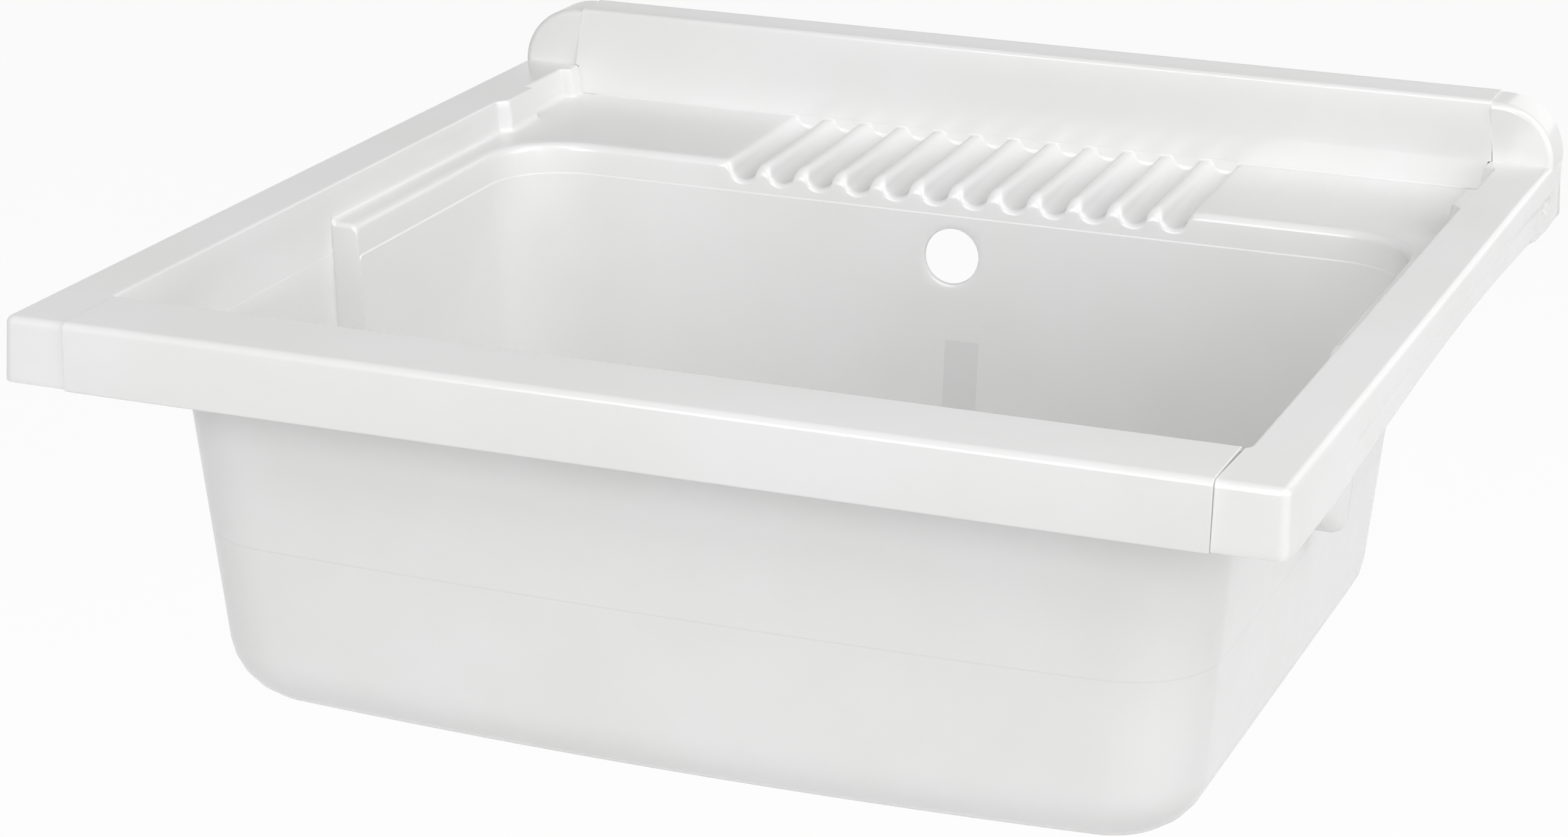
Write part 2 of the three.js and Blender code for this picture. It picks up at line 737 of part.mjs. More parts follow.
function screws() {
  const solid = screwSolid();
  const meshes = [];
  screwXs.forEach((x, i) => {
    const front = meshOf(`front_cover_screw_${i + 1}`, solid, steel);
    front.position.set(x, frontScrewY, frontBossEnd - fitGap);
    const rear = meshOf(`splash_cover_screw_${i + 1}`, solid, steel);
    rear.position.set(x, splashBossEnd + fitGap, splashScrewZ);
    rear.rotation.x = Math.PI / 2;
    meshes.push(front, rear);
  });
  return meshes;
}

// ---- the waste fitting --------------------------------------------------------------------------

const seatLevel = -bowlDepth - floorFall; // floor of the seat for the strainer
const dishFloor = seatLevel - 8; // top of the strainer's grid
const sheet = 1.2;
const gasketThickness = 1.6;
const dishRim = seatLevel + fitGap + gasketThickness + fitGap;

function seatGasket() {
  const low = seatLevel + fitGap;
  return ringSolid(drainRadius + 1, drainRadius + 8.5, low, low + gasketThickness);
}

function ringSolid(inner, outer, low, high, sides = 32) {
  return turned(
    [
      [inner, low],
      [outer, low],
      [outer, high],
      [inner, high],
      [inner, low],
    ],
    drain,
    sides,
  );
}

// The pressed strainer: a flat rim, a cone and a grid of round holes.
function strainerDish() {
  const rim = drainRadius + 8.6;
  const throat = drainRadius - 1.5;
  const dish = turned(
    [
      [3.2, dishFloor - sheet],
      [throat - 3, dishFloor - sheet],
      [throat, dishRim - 1.5],
      [throat + 1.5, dishRim],
      [rim, dishRim],
      [rim, dishRim + sheet],
      [throat + 1, dishRim + sheet],
      [throat - sheet, dishRim - 1],
      [throat - 3.6, dishFloor],
      [3.2, dishFloor],
      [3.2, dishFloor - sheet],
    ],
    drain,
  );
  const holes = [];
  [
    [8.5, 6, 2.2],
    [14.6, 10, 2.6],
  ].forEach(([ringRadius, count, radius]) => {
    for (let i = 0; i < count; i++) {
      const angle = (2 * Math.PI * (i + 0.5)) / count;
      const x = drain.x + ringRadius * Math.cos(angle);
      const y = drain.y + ringRadius * Math.sin(angle);
      const low = new THREE.Vector3(x, y, dishFloor - 4);
      const high = new THREE.Vector3(x, y, dishFloor + 4);
      holes.push(bar(low, high, radius, 8));
    }
  });
  return cut(dish, holes);
}

const bossUnder = -bowlDepth - floorFall - 4;
const bodyTop = bossUnder - 2 * fitGap - 2;
const tubeRadius = 23.9; // outlet thread
const tubeEnd = bodyTop - 40;

// The plastic body under the floor: flange, funnel, threaded outlet and a hub on four arms for the screw.
function wasteBody() {
  const shell = turned(
    [
      [31, bodyTop],
      [40, bodyTop],
      [40, bodyTop - 4],
      [33, bodyTop - 5],
      [32, bodyTop - 9],
      [26, bodyTop - 16],
      [tubeRadius, bodyTop - 18],
      [tubeRadius, tubeEnd],
      [tubeRadius - 3.4, tubeEnd],
      [tubeRadius - 3.4, bodyTop - 17],
      [29, bodyTop - 9],
      [31, bodyTop],
    ],
    drain,
  );
  const armTop = bodyTop - 6.6;
  const armLow = armTop - 7;
  const arms = [
    box(drain.x - 30, drain.x + 30, drain.y - 1.3, drain.y + 1.3, armLow, armTop),
    box(drain.x - 1.3, drain.x + 1.3, drain.y - 30, drain.y + 30, armLow, armTop),
  ];
  const hub = ringSolid(0, 6, armLow - 3, armTop, 20);
  const inner = turned(
    [
      [0, bodyTop + 1],
      [31.5, bodyTop + 1],
      [31.5, bodyTop - 8],
      [24, bodyTop - 22],
      [0, bodyTop - 22],
    ],
    drain,
  );
  const cross = join([...arms, hub]).intersect(inner);
  const bore = bar(
    new THREE.Vector3(drain.x, drain.y, armLow - 10),
    new THREE.Vector3(drain.x, drain.y, armTop + 2),
    3.4,
    16,
  );
  return cut(join([shell, cross]), [bore]);
}

function bodyGasket() {
  return ringSolid(drainRadius + 3, drainRadius + 12, bossUnder - fitGap - 2, bossUnder - fitGap);
}

function centreScrew() {
  const seat = dishFloor + fitGap;
  return turned(
    [
      [0, seat + 2.6],
      [3, seat + 2.3],
      [5.6, seat + 0.6],
      [5.6, seat],
      [2.9, seat],
      [2.9, seat - 20],
      [0, seat - 20],
    ],
    drain,
    20,
  );
}

const plugTop = dishRim + sheet + 2;

// The plug: a tapered rubber stopper, hollow below, with a lug for its ring.
function plug() {
  const low = dishFloor + fitGap + 0.4;
  const stopper = turned(
    [
      [0, plugTop],
      [20, plugTop],
      [22.6, plugTop - 0.8],
      [23.3, plugTop - 2.2],
      [21.2, low],
      [17, low],
      [17, low + 3.4],
      [0, low + 3.4],
    ],
    drain,
  );
  const lug = new THREE.Shape();
  lug.moveTo(-6, -0.5);
  lug.lineTo(6, -0.5);
  lug.absarc(0, 5, 4.2, -0.2, Math.PI + 0.2, false);
  const geometry = new THREE.ExtrudeGeometry(lug, { depth: 3, bevelEnabled: false, curveSegments: 8 });
  geometry.rotateX(Math.PI / 2);
  geometry.translate(drain.x, drain.y + 1.5, plugTop);
  const eye = bar(
    new THREE.Vector3(drain.x, drain.y - 4, plugTop + 5),
    new THREE.Vector3(drain.x, drain.y + 4, plugTop + 5),
    2.2,
    12,
  );
  return cut(join([stopper, solidOf(geometry)]), [eye]);
}

// The pull ring passes through the lug's eye and lies down on the plug.
function pullRing() {
  const radius = 8;
  const wire = 1;
  const tilt = THREE.MathUtils.degToRad(99);
  // the ring's plane holds the eye's axis, y, and a line that leans over to +x
  const basis = new THREE.Matrix4().makeBasis(
    new THREE.Vector3(0, 1, 0),
    new THREE.Vector3(Math.sin(tilt), 0, Math.cos(tilt)),
    new THREE.Vector3(Math.cos(tilt), 0, -Math.sin(tilt)),
  );
  const geometry = new THREE.TorusGeometry(radius, wire, 7, 24);
  geometry.applyMatrix4(basis);
  geometry.translate(drain.x + radius * Math.sin(tilt), drain.y, plugTop + 5 + radius * Math.cos(tilt));
  return solidOf(geometry);
}

const tailRadius = 20;
const washerTop = tubeEnd - fitGap;

function outletWasher() {
  return ringSolid(tailRadius - 1, tubeRadius - 0.4, washerTop - 2, washerTop);
}

function tailpiece() {
  const top = washerTop - 2 - fitGap;
  return turned(
    [
      [tailRadius - 2, top],
      [tubeRadius - 0.4, top],
      [tubeRadius - 0.4, top - 2],
      [tailRadius, top - 3],
      [tailRadius, top - 34],
      [tailRadius - 2, top - 34],
      [tailRadius - 2, top],
    ],
    drain,
  );
}

// The union nut: a ribbed ring that grips the tailpiece's collar.
function outletNut() {
  const low = washerTop - 2 - fitGap - 2 - 4;
  const high = tubeEnd + 10;
  const ring = turned(
    [
      [tailRadius + 0.4, low],
      [28, low],
      [29, low + 1.5],
      [29, high - 1],
      [28, high],
      [tubeRadius + 0.4, high],
      [tubeRadius + 0.4, low + 3.2],
      [tailRadius + 0.4, low + 1.2],
      [tailRadius + 0.4, low],
    ],
    drain,
  );
  const grips = [];
  const gripCount = 8;
  for (let i = 0; i < gripCount; i++) {
    const angle = (2 * Math.PI * i) / gripCount;
    const x = drain.x + 29 * Math.cos(angle);
    const y = drain.y + 29 * Math.sin(angle);
    grips.push(bar(new THREE.Vector3(x, y, low + 1.5), new THREE.Vector3(x, y, high - 1), 2.2, 8));
  }
  return join([ring, ...grips]);
}

// ---- assembly -----------------------------------------------------------------------------------

const sink = new THREE.Group();
sink.name = "utility_laundry_sink";
sink.add(meshOf("tub", tub(), white));
sink.add(meshOf("front_cover", frontCover(), white));
sink.add(meshOf("splash_cover", splashCover(), white));
sink.add(...screws());

sink.add(meshOf("seat_gasket", seatGasket(), rubber));
sink.add(meshOf("strainer_dish", strainerDish(), steel));
sink.add(meshOf("body_gasket", bodyGasket(), rubber));
sink.add(meshOf("waste_body", wasteBody(), fitting));
sink.add(meshOf("centre_screw", centreScrew(), steel));
sink.add(meshOf("outlet_washer", outletWasher(), rubber));
sink.add(meshOf("outlet_nut", outletNut(), fitting));
sink.add(meshOf("tailpiece", tailpiece(), fitting));
sink.add(meshOf("plug", plug(), rubber));
sink.add(meshOf("pull_ring", pullRing(), steel));

export default sink;
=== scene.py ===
"""Utility laundry sink with a moulded washboard: shapes, finishes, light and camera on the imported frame."""

import logging
import math
from dataclasses import dataclass, field
from enum import Enum
from typing import Callable

import bmesh
import bpy
import numpy as np
from mathutils import Matrix, Vector


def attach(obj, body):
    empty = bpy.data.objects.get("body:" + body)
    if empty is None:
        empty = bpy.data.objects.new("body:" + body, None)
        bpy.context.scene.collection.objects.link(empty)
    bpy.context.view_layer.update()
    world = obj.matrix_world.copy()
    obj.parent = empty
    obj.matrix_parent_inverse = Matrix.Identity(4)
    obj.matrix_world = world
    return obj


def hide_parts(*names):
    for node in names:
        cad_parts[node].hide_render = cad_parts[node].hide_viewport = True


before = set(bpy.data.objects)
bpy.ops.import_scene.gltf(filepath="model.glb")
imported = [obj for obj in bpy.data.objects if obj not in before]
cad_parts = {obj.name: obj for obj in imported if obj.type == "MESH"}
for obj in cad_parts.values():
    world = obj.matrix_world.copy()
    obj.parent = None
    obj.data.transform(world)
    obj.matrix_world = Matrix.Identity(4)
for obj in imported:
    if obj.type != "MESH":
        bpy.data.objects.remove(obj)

LOG = logging.getLogger("laundry_sink")
MM = 0.001


class Body(Enum):
    """The two rigid bodies of the sink."""

    SINK = "sink"
    STOPPER = "stopper"


# ---- small helpers --------------------------------------------------------------------------------------


def linear(hex_colour: str) -> tuple[float, float, float, float]:
    """Turn an sRGB hex colour into linear light.

    Args:
        hex_colour: six hex digits, such as "E8E9EA".

    Returns:
        Red, green and blue as linear values, and an alpha of 1.
    """
    parts = np.array([int(hex_colour[i : i + 2], 16) for i in (0, 2, 4)]) / 255.0
    low = parts / 12.92
    high = ((parts + 0.055) / 1.055) ** 2.4
    red, green, blue = np.where(parts <= 0.04045, low, high)
    return float(red), float(green), float(blue), 1.0


def smooth_step(value: np.ndarray) -> np.ndarray:
    """3t^2 - 2t^3 with t held between 0 and 1."""
    t = np.clip(value, 0.0, 1.0)
    return t * t * (3.0 - 2.0 * t)


def finish_mesh(name: str, points: np.ndarray, faces: list, crease: float = 40.0) -> bpy.types.Object:
    """Make an object from points in millimetres, smooth apart from edges sharper than the crease.

    Args:
        name: the piece's name.
        points: an array of n by 3 coordinates in millimetres.
        faces: tuples of point numbers, anticlockwise from outside.
        crease: the angle in degrees above which an edge stays sharp.

    Returns:
        The new object, linked to the scene, with its place in its mesh.
    """
    mesh = bpy.data.meshes.new(name)
    mesh.from_pydata((points * MM).tolist(), [], faces)
    mesh.validate(clean_customdata=False)
    mesh.shade_smooth()
    mesh.set_sharp_from_angle(angle=math.radians(crease))
    mesh.update()
    made = bpy.data.objects.new(name, mesh)
    bpy.context.scene.collection.objects.link(made)
    return made


def grid_faces(rows: int, columns: int, first: int = 0, flip: bool = False) -> np.ndarray:
    """Four-cornered faces of a grid whose columns close on themselves.

    Args:
        rows: the number of rows.
        columns: the number of points in a row.
        first: the number of the grid's first point.
        flip: turns the faces round.

    Returns:
        An array of faces, one row of four point numbers each.
    """
    row, column = np.meshgrid(np.arange(rows - 1), np.arange(columns), indexing="ij")
    after = (column + 1) % columns
    a = first + row * columns + column
    b = first + row * columns + after
    c = first + (row + 1) * columns + after
    d = first + (row + 1) * columns + column
    order = [a, d, c, b] if flip else [a, b, c, d]
    return np.stack([part.ravel() for part in order], axis=1)


def ease_edges(piece: bpy.types.Object, radius: float, angle: float = 50.0) -> None:
    """Round the sharper edges of a piece.

    Args:
        piece: the piece, whose mesh stays as it is.
        radius: the rounding in millimetres.
        angle: the turn in degrees from which an edge is rounded.
    """
    ease = piece.modifiers.new("eased_edges", "BEVEL")
    ease.width = radius * MM
    ease.segments = 2
    ease.limit_method = "ANGLE"
    ease.angle_limit = math.radians(angle)


def arc_points(centre: tuple[float, float], radius: float, start: float, stop: float, steps: int) -> list:
    """Points of an arc, with its angles in degrees."""
    angles = np.radians(np.linspace(start, stop, steps + 1))
    return [(centre[0] + radius * math.cos(a), centre[1] + radius * math.sin(a)) for a in angles]


# ---- the tub's plan: columns that run from the skirt's lower edge to the drain ---------------------------


@dataclass(frozen=True)
class TubSizes:
    """Sizes of the moulded tub in millimetres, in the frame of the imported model.

    Levels are heights above the side rails' top, and y runs from 0 at the wall to the front.
    """

    wall: float = 3.0
    # The rim, and the skirt below it, whose lower edge is an arch along each side.
    rim_half: float = 298.5
    rim_front: float = -597.5
    rim_corner: float = 4.2
    rim_rear_corner: float = 1.0
    edge_round: float = 3.5
    flare: float = 1.5
    skirt: float = 31.0
    skirt_wall: float = 3.9
    arch: float = 6.0
    arch_front: float = -455.0
    arch_length: float = 410.0
    # The shallow hollow in either side of the skirt.
    hollow: float = 1.7
    hollow_front: float = -503.0
    hollow_rear: float = -16.0
    hollow_slant: float = 3.6
    # The recess between the rails.
    recess_half: float = 269.5
    recess_front: float = -553.0
    recess_rear: float = -25.7
    recess_corner: float = 7.0
    recess_rear_corner: float = 2.0
    inner_edge: float = 1.6
    lean: float = 1.5
    lean_height: float = 11.0
    lean_below: float = 0.05
    # The pad in either wall of the recess, and the wall that stands in next to the splash.
    pad_front: float = -132.0
    pad_rise: float = 8.5
    pad_rear: float = -91.75
    pad_depth: float = 5.0
    beside_pads: float = -136.0
    clear_of_pads: float = 257.4
    splash_jog: float = 5.3
    splash_jog_front: float = -43.6
    # The deck between splash and bowl.
    deck: float = -16.0
    deck_lip: float = -18.0
    deck_front: float = -126.0
    foot: float = 3.0
    lip: float = 4.0
    nose: float = 3.0
    mouth: float = 1.5
    # The washboard.
    groove_count: int = 12
    groove_pitch: float = 22.0
    groove_back: float = 6.5
    groove_front: float = 10.0
    hollow_round: float = 7.0
    shoulder_round: float = 4.1
    board_rear: float = -30.3
    # The bowl.
    bowl_half: float = 258.0
    bowl_front: float = -549.0
    bowl_back: float = -129.0
    bowl_depth: float = 208.0
    bowl_corner: float = 45.0
    side_draft: float = 17.5
    front_draft: float = 23.5
    back_draft: float = 12.0
    bow: float = 8.7
    fillet: float = 30.0
    step_level: float = -34.3
    step: float = 0.6
    wall_step: float = 0.35
    floor_fall: float = 3.0
    # The bowl's wider front half: a sloping floor that ends in an upright face.
    pocket_top: float = -4.0
    pocket_end: float = -335.0
    pocket_depth: float = 108.0
    pocket_foot: float = 3.0
    pocket_lip: float = 4.0
    pocket_round: float = 3.0
    # Columns of the bowl that keep their own x or y at every level, and the ends of its straight sides.
    steady_half: float = 150.0
    steady_front: float = -480.0
    steady_rear: float = -220.0
    side_front: float = -504.0
    side_rear: float = -180.0
    # The flange under the front cover, and the upstand inside the splash cover.
    cover_half: float = 267.0
    splash_half: float = 262.5
    splash_end: float = 261.0
    flange: float = -2.3
    flange_back: float = 3.3
    # Openings.
    hole_radius: float = 15.0
    hole_level: float = -56.5
    drain_y: float = -270.0
    drain_radius: float = 27.0
    slot_x: float = 225.0
    slot_radius: float = 3.5
    slot_low: float = -17.0
    slot_high: float = -11.0

    @property
    def board_half(self) -> float:
        """Half the width of the washboard."""
        return self.groove_count * self.groove_pitch / 2.0


# The parts of the bowl's outline.
FRONT, FRONT_CORNER, SIDE, REAR_CORNER, REAR = range(5)
# Distances from a ridge's crest to the columns of one groove: closer together on the steep flanks.
ACROSS_GROOVE = np.array(
    [0.0, 1.5, 2.8, 3.8, 4.5, 5.4, 6.7, 8.6, 11.0, 13.4, 15.3, 16.6, 17.5, 18.2, 19.2, 20.5]
)
# Heights of the rows above and below the middle of the overflow hole, and the number of the middle one.
HOLE_ROWS = np.array([20.3, 19.2, 18.0, 16.6, *np.linspace(15.0, -15.0, 17), -16.6, -18.0, -19.2, -20.3])
HOLE_MIDDLE = 12
# Columns and rows of the square block, to either side of its middle, that becomes the hole.
HOLE_ACROSS, HOLE_UP = 10, 8
# Share of the way over the shelf at which the columns beside the deck turn towards the bowl.
TURN = 0.13
# The angle in degrees above which the tub's edges stay sharp.
TUB_CREASE = 32.0
# Columns along the upright face that ends the bowl's wider half: two quarter circles.
END_FACE_STEPS = 7
# Where the skirt's hollow starts, as pairs of y and level.
HOLLOW_EDGE = (
    (-505.0, -31.0),
    (-499.0, -15.4),
    (-450.0, -12.0),
    (-390.0, -10.5),
    (-330.0, -10.3),
    (-100.0, -10.6),
    (-16.0, -12.4),
)


@dataclass
class Columns:
    """One entry for each column: its place on the rim's outline, on the recess and on the bowl.

    rim_out and recess_in are directions. bowl_value is an x on the bowl's front and back, a y on its
    sides and an angle in degrees in its corners. end_face numbers the columns of the upright face that
    ends the wider half of the bowl, and is -1 elsewhere.
    """

    rim: np.ndarray
    rim_out: np.ndarray
    recess: np.ndarray
    recess_in: np.ndarray
    bowl_part: np.ndarray
    bowl_value: np.ndarray
    side: np.ndarray
    end_face: np.ndarray
    middle: int

    @property
    def count(self) -> int:
        """The number of columns."""
        return len(self.side)

    @property
    def board_x(self) -> np.ndarray:
        """Each rear column's x, and a value far off the washboard for the others."""
        return np.where(self.bowl_part == REAR, self.bowl_value, 1000.0)

    @property
    def on_side_wall(self) -> np.ndarray:
        """Whether a column's recess wall faces sideways, at least in part."""
        return np.abs(self.recess_in[:, 0]) > 1e-3


def corner_point(centre: tuple, radius: float, degrees: float) -> tuple[float, float, float, float]:
    """A point of an arc and the outward direction there."""
    c, s = math.cos(math.radians(degrees)), math.sin(math.radians(degrees))
    return centre[0] + radius * c, centre[1] + radius * s, c, s


def plan_columns(z: TubSizes) -> Columns:
    """Lay the columns round the tub: closer together where the form turns, and over the washboard.

    The right half is listed from the middle of the front to the middle of the back. The left half
    mirrors it.

    Args:
        z: the tub's sizes.

    Returns:
        The columns, anticlockwise from above.
    """
    rows: list[tuple] = []
    corner, rear_corner = z.recess_corner, z.recess_rear_corner
    recess_front_centre = (z.recess_half - corner, z.recess_front + corner)
    recess_rear_centre = (z.recess_half - rear_corner, z.recess_rear - rear_corner)
    rim_centre = (z.rim_half - z.rim_corner, z.rim_front + z.rim_corner)
    rim_rear_centre = (z.rim_half - z.rim_rear_corner, -z.rim_rear_corner)
    straight = z.bowl_half - z.bowl_corner

    def add(rim: tuple, recess: tuple, part: int, value: float, face: int = -1) -> None:
        """Add a column."""
        rows.append((*rim, *recess, part, value, face))

    def on_front(x: float) -> tuple:
        """A point of the rim's front."""
        return (x, z.rim_front, 0.0, -1.0)

    def on_side(y: float) -> tuple:
        """A point of the rim's side."""
        return (z.rim_half, y, 1.0, 0.0)

    def on_rear(x: float) -> tuple:
        """A point of the rim's back."""
        return (x, 0.0, 0.0, 1.0)

    def add_side(y: float, part: int, value: float, face: int = -1) -> None:
        """Add a column that crosses the side rail squarely."""
        add(on_side(y), (z.recess_half, y, 1.0, 0.0), part, value, face)

    # the front rail
    for x in [*np.linspace(0.0, 200.0, 13), straight]:
        add(on_front(x), (x, z.recess_front, 0.0, -1.0), FRONT, x)
    for x, angle in zip([225.0, 240.0, 252.0, 262.5], [-84.0, -75.0, -66.0, -58.0]):
        add(on_front(x), (x, z.recess_front, 0.0, -1.0), FRONT_CORNER, angle)
    # the front corner: angle round the recess's corner, place on the rim, angle round the bowl's corner
    rim_turn = [(-90.0 + 15.0 * i, -48.0 + i, -50.0 + 1.5 * i) for i in range(7)]
    turn = [
        (-75.0, on_front(264.3), -57.0),
        (-60.0, on_front(266.0), -55.5),
        (-50.8, on_front(z.cover_half - 0.05), -54.5),
        (-50.2, on_front(z.cover_half + 0.05), -54.0),
        (-49.0, on_front(280.0), -52.0),
        *[(angle, corner_point(rim_centre, z.rim_corner, way), bowl) for way, angle, bowl in rim_turn],
        (-30.0, on_side(-578.0), -36.0),
        (-15.0, on_side(-562.0), -33.0),
        (0.0, on_side(-546.0), -30.0),
    ]
    for angle, rim, bowl_angle in turn:
        add(rim, corner_point(recess_front_centre, corner, angle), FRONT_CORNER, bowl_angle)
    # the side rail, with the end face of the bowl's wider half and the pad
    for y, angle in zip([-540.0, -533.0, -526.0, -519.0, -511.0], [-25.5, -20.0, -14.5, -9.5, -4.5]):
        add_side(y, FRONT_CORNER, angle)
    for y in np.linspace(z.side_front, -342.0, 20):
        add_side(y, SIDE, y)
    for i, y in enumerate(np.linspace(z.pocket_end - 3.2, z.pocket_end + 3.2, 2 * END_FACE_STEPS + 2)):
        add_side(y, SIDE, y, i)
    for y in np.linspace(-326.0, z.side_rear, 15):
        add_side(y, SIDE, y)
    pad_front = np.linspace(z.pad_front - 0.5, z.pad_front + z.pad_rise + 0.5, 11)
    pad_rear = [-93.0, -92.4, -92.0, -91.6, -90.0]
    splash_wall = [-45.0, *np.linspace(-43.8, -41.0, 8), -38.5, -35.0, -31.3, -30.3, -29.0, -27.8]
    beside_deck = [-168.0, -156.0, -144.0, -136.0, *pad_front, -116.0, -106.0, -97.0, *pad_rear]
    beside_deck += [-82.0, -72.0, -62.0, -53.0, -48.0, *splash_wall]
    for y, angle in zip(beside_deck, np.interp(beside_deck, [z.side_rear, -27.7], [0.0, 44.0])):
        add_side(y, REAR_CORNER, float(angle))
    # the rear corner: angle round the recess's corner, and place on the rim
    rear_turn = [
        (15.0, on_side(-18.0)),
        (30.0, on_side(-6.0)),
        (45.0, corner_point(rim_rear_centre, z.rim_rear_corner, 45.0)),
        (60.0, on_rear(290.0)),
        (75.0, on_rear(278.0)),
        (89.0, on_rear(268.0)),
    ]
    for i, (angle, rim) in enumerate(rear_turn):
        add(rim, corner_point(recess_rear_centre, rear_corner, angle), REAR_CORNER, 44.4 + 0.3 * i)
    for x, angle in zip([262.0, 252.0, 240.0, 226.0], [50.0, 58.0, 68.0, 79.0]):
        add(on_rear(x), (x, z.recess_rear, 0.0, 1.0), REAR_CORNER, angle)
    # the back, with the washboard
    grooves = (np.arange(z.groove_count // 2)[:, None] * z.groove_pitch + ACROSS_GROOVE).ravel()
    for x in [straight, 200.0, 187.0, 174.0, 161.0, 150.0, 142.0, 136.0, z.board_half, *grooves[::-1]]:
        add(on_rear(x), (x, z.recess_rear, 0.0, 1.0), REAR, x)

    half = np.array(rows, float)
    mirrored = half[-2:0:-1].copy()
    mirrored[:, [0, 2, 4, 6]] *= -1.0
    both = np.concatenate([half, mirrored])
    return Columns(
        rim=both[:, 0:2],
        rim_out=both[:, 2:4],
        recess=both[:, 4:6],
        recess_in=-both[:, 6:8],
        bowl_part=both[:, 8].astype(int),
        bowl_value=both[:, 9],
        side=np.concatenate([np.ones(len(half)), -np.ones(len(mirrored))]),
        end_face=both[:, 10].astype(int),
        middle=len(half) - 1,
    )


@dataclass
class Shelf:
    """What a column meets between the recess wall and the bowl wall: one value for each column."""

    foot_level: np.ndarray
    lip_level: np.ndarray
    foot: np.ndarray
    lip: np.ndarray
    board: bool


@dataclass(frozen=True)
class Face:
    """Where one face of the tub's wall has its rows of points, from the recess to the drain.

    across and floor are shares of the way, the turns are angles in degrees, and low_marks are the levels
    below the overflow hole.
    """

    upper: bool
    wall_marks: tuple[float, ...]
    wall_steps: int
    foot_turn: tuple[float, ...]
    across: tuple[float, ...]
    lip_turn: tuple[float, ...]
    low_marks: tuple[float, ...]
    straight: tuple[float, ...]
    fillet_steps: int
    floor: tuple[float, ...]


UPPER = Face(
    upper=True,
    wall_marks=(-6.0, -11.0, -33.95, -34.3, -34.65),
    wall_steps=9,
    foot_turn=(18.0, 36.0, 54.0, 72.0, 90.0),
    across=(0.02, 0.045, 0.08, TURN, 0.22, 0.34, 0.46, 0.58, 0.70, 0.80, 0.88, 0.95, 1.0),
    lip_turn=(15.0, 30.0, 45.0, 60.0, 75.0, 90.0),
    low_marks=(-84.0, -94.0, -106.0, -120.0),
    straight=(0.25, 0.5, 0.75, 1.0),
    fillet_steps=9,
    floor=(0.03, 0.15, 0.4, 0.65, 0.88, 1.0),
)
LOWER = Face(
    upper=False,
    wall_marks=(),
    wall_steps=4,
    foot_turn=(30.0, 60.0, 90.0),
    across=(TURN, 0.25, 0.4, 0.65, 0.88, 1.0),
    lip_turn=(30.0, 60.0, 90.0),
    low_marks=(-98.0, -120.0),
    straight=(0.5, 1.0),
    fillet_steps=6,
    floor=(0.1, 0.5, 1.0),
)


# ---- the tub --------------------------------------------------------------------------------------------


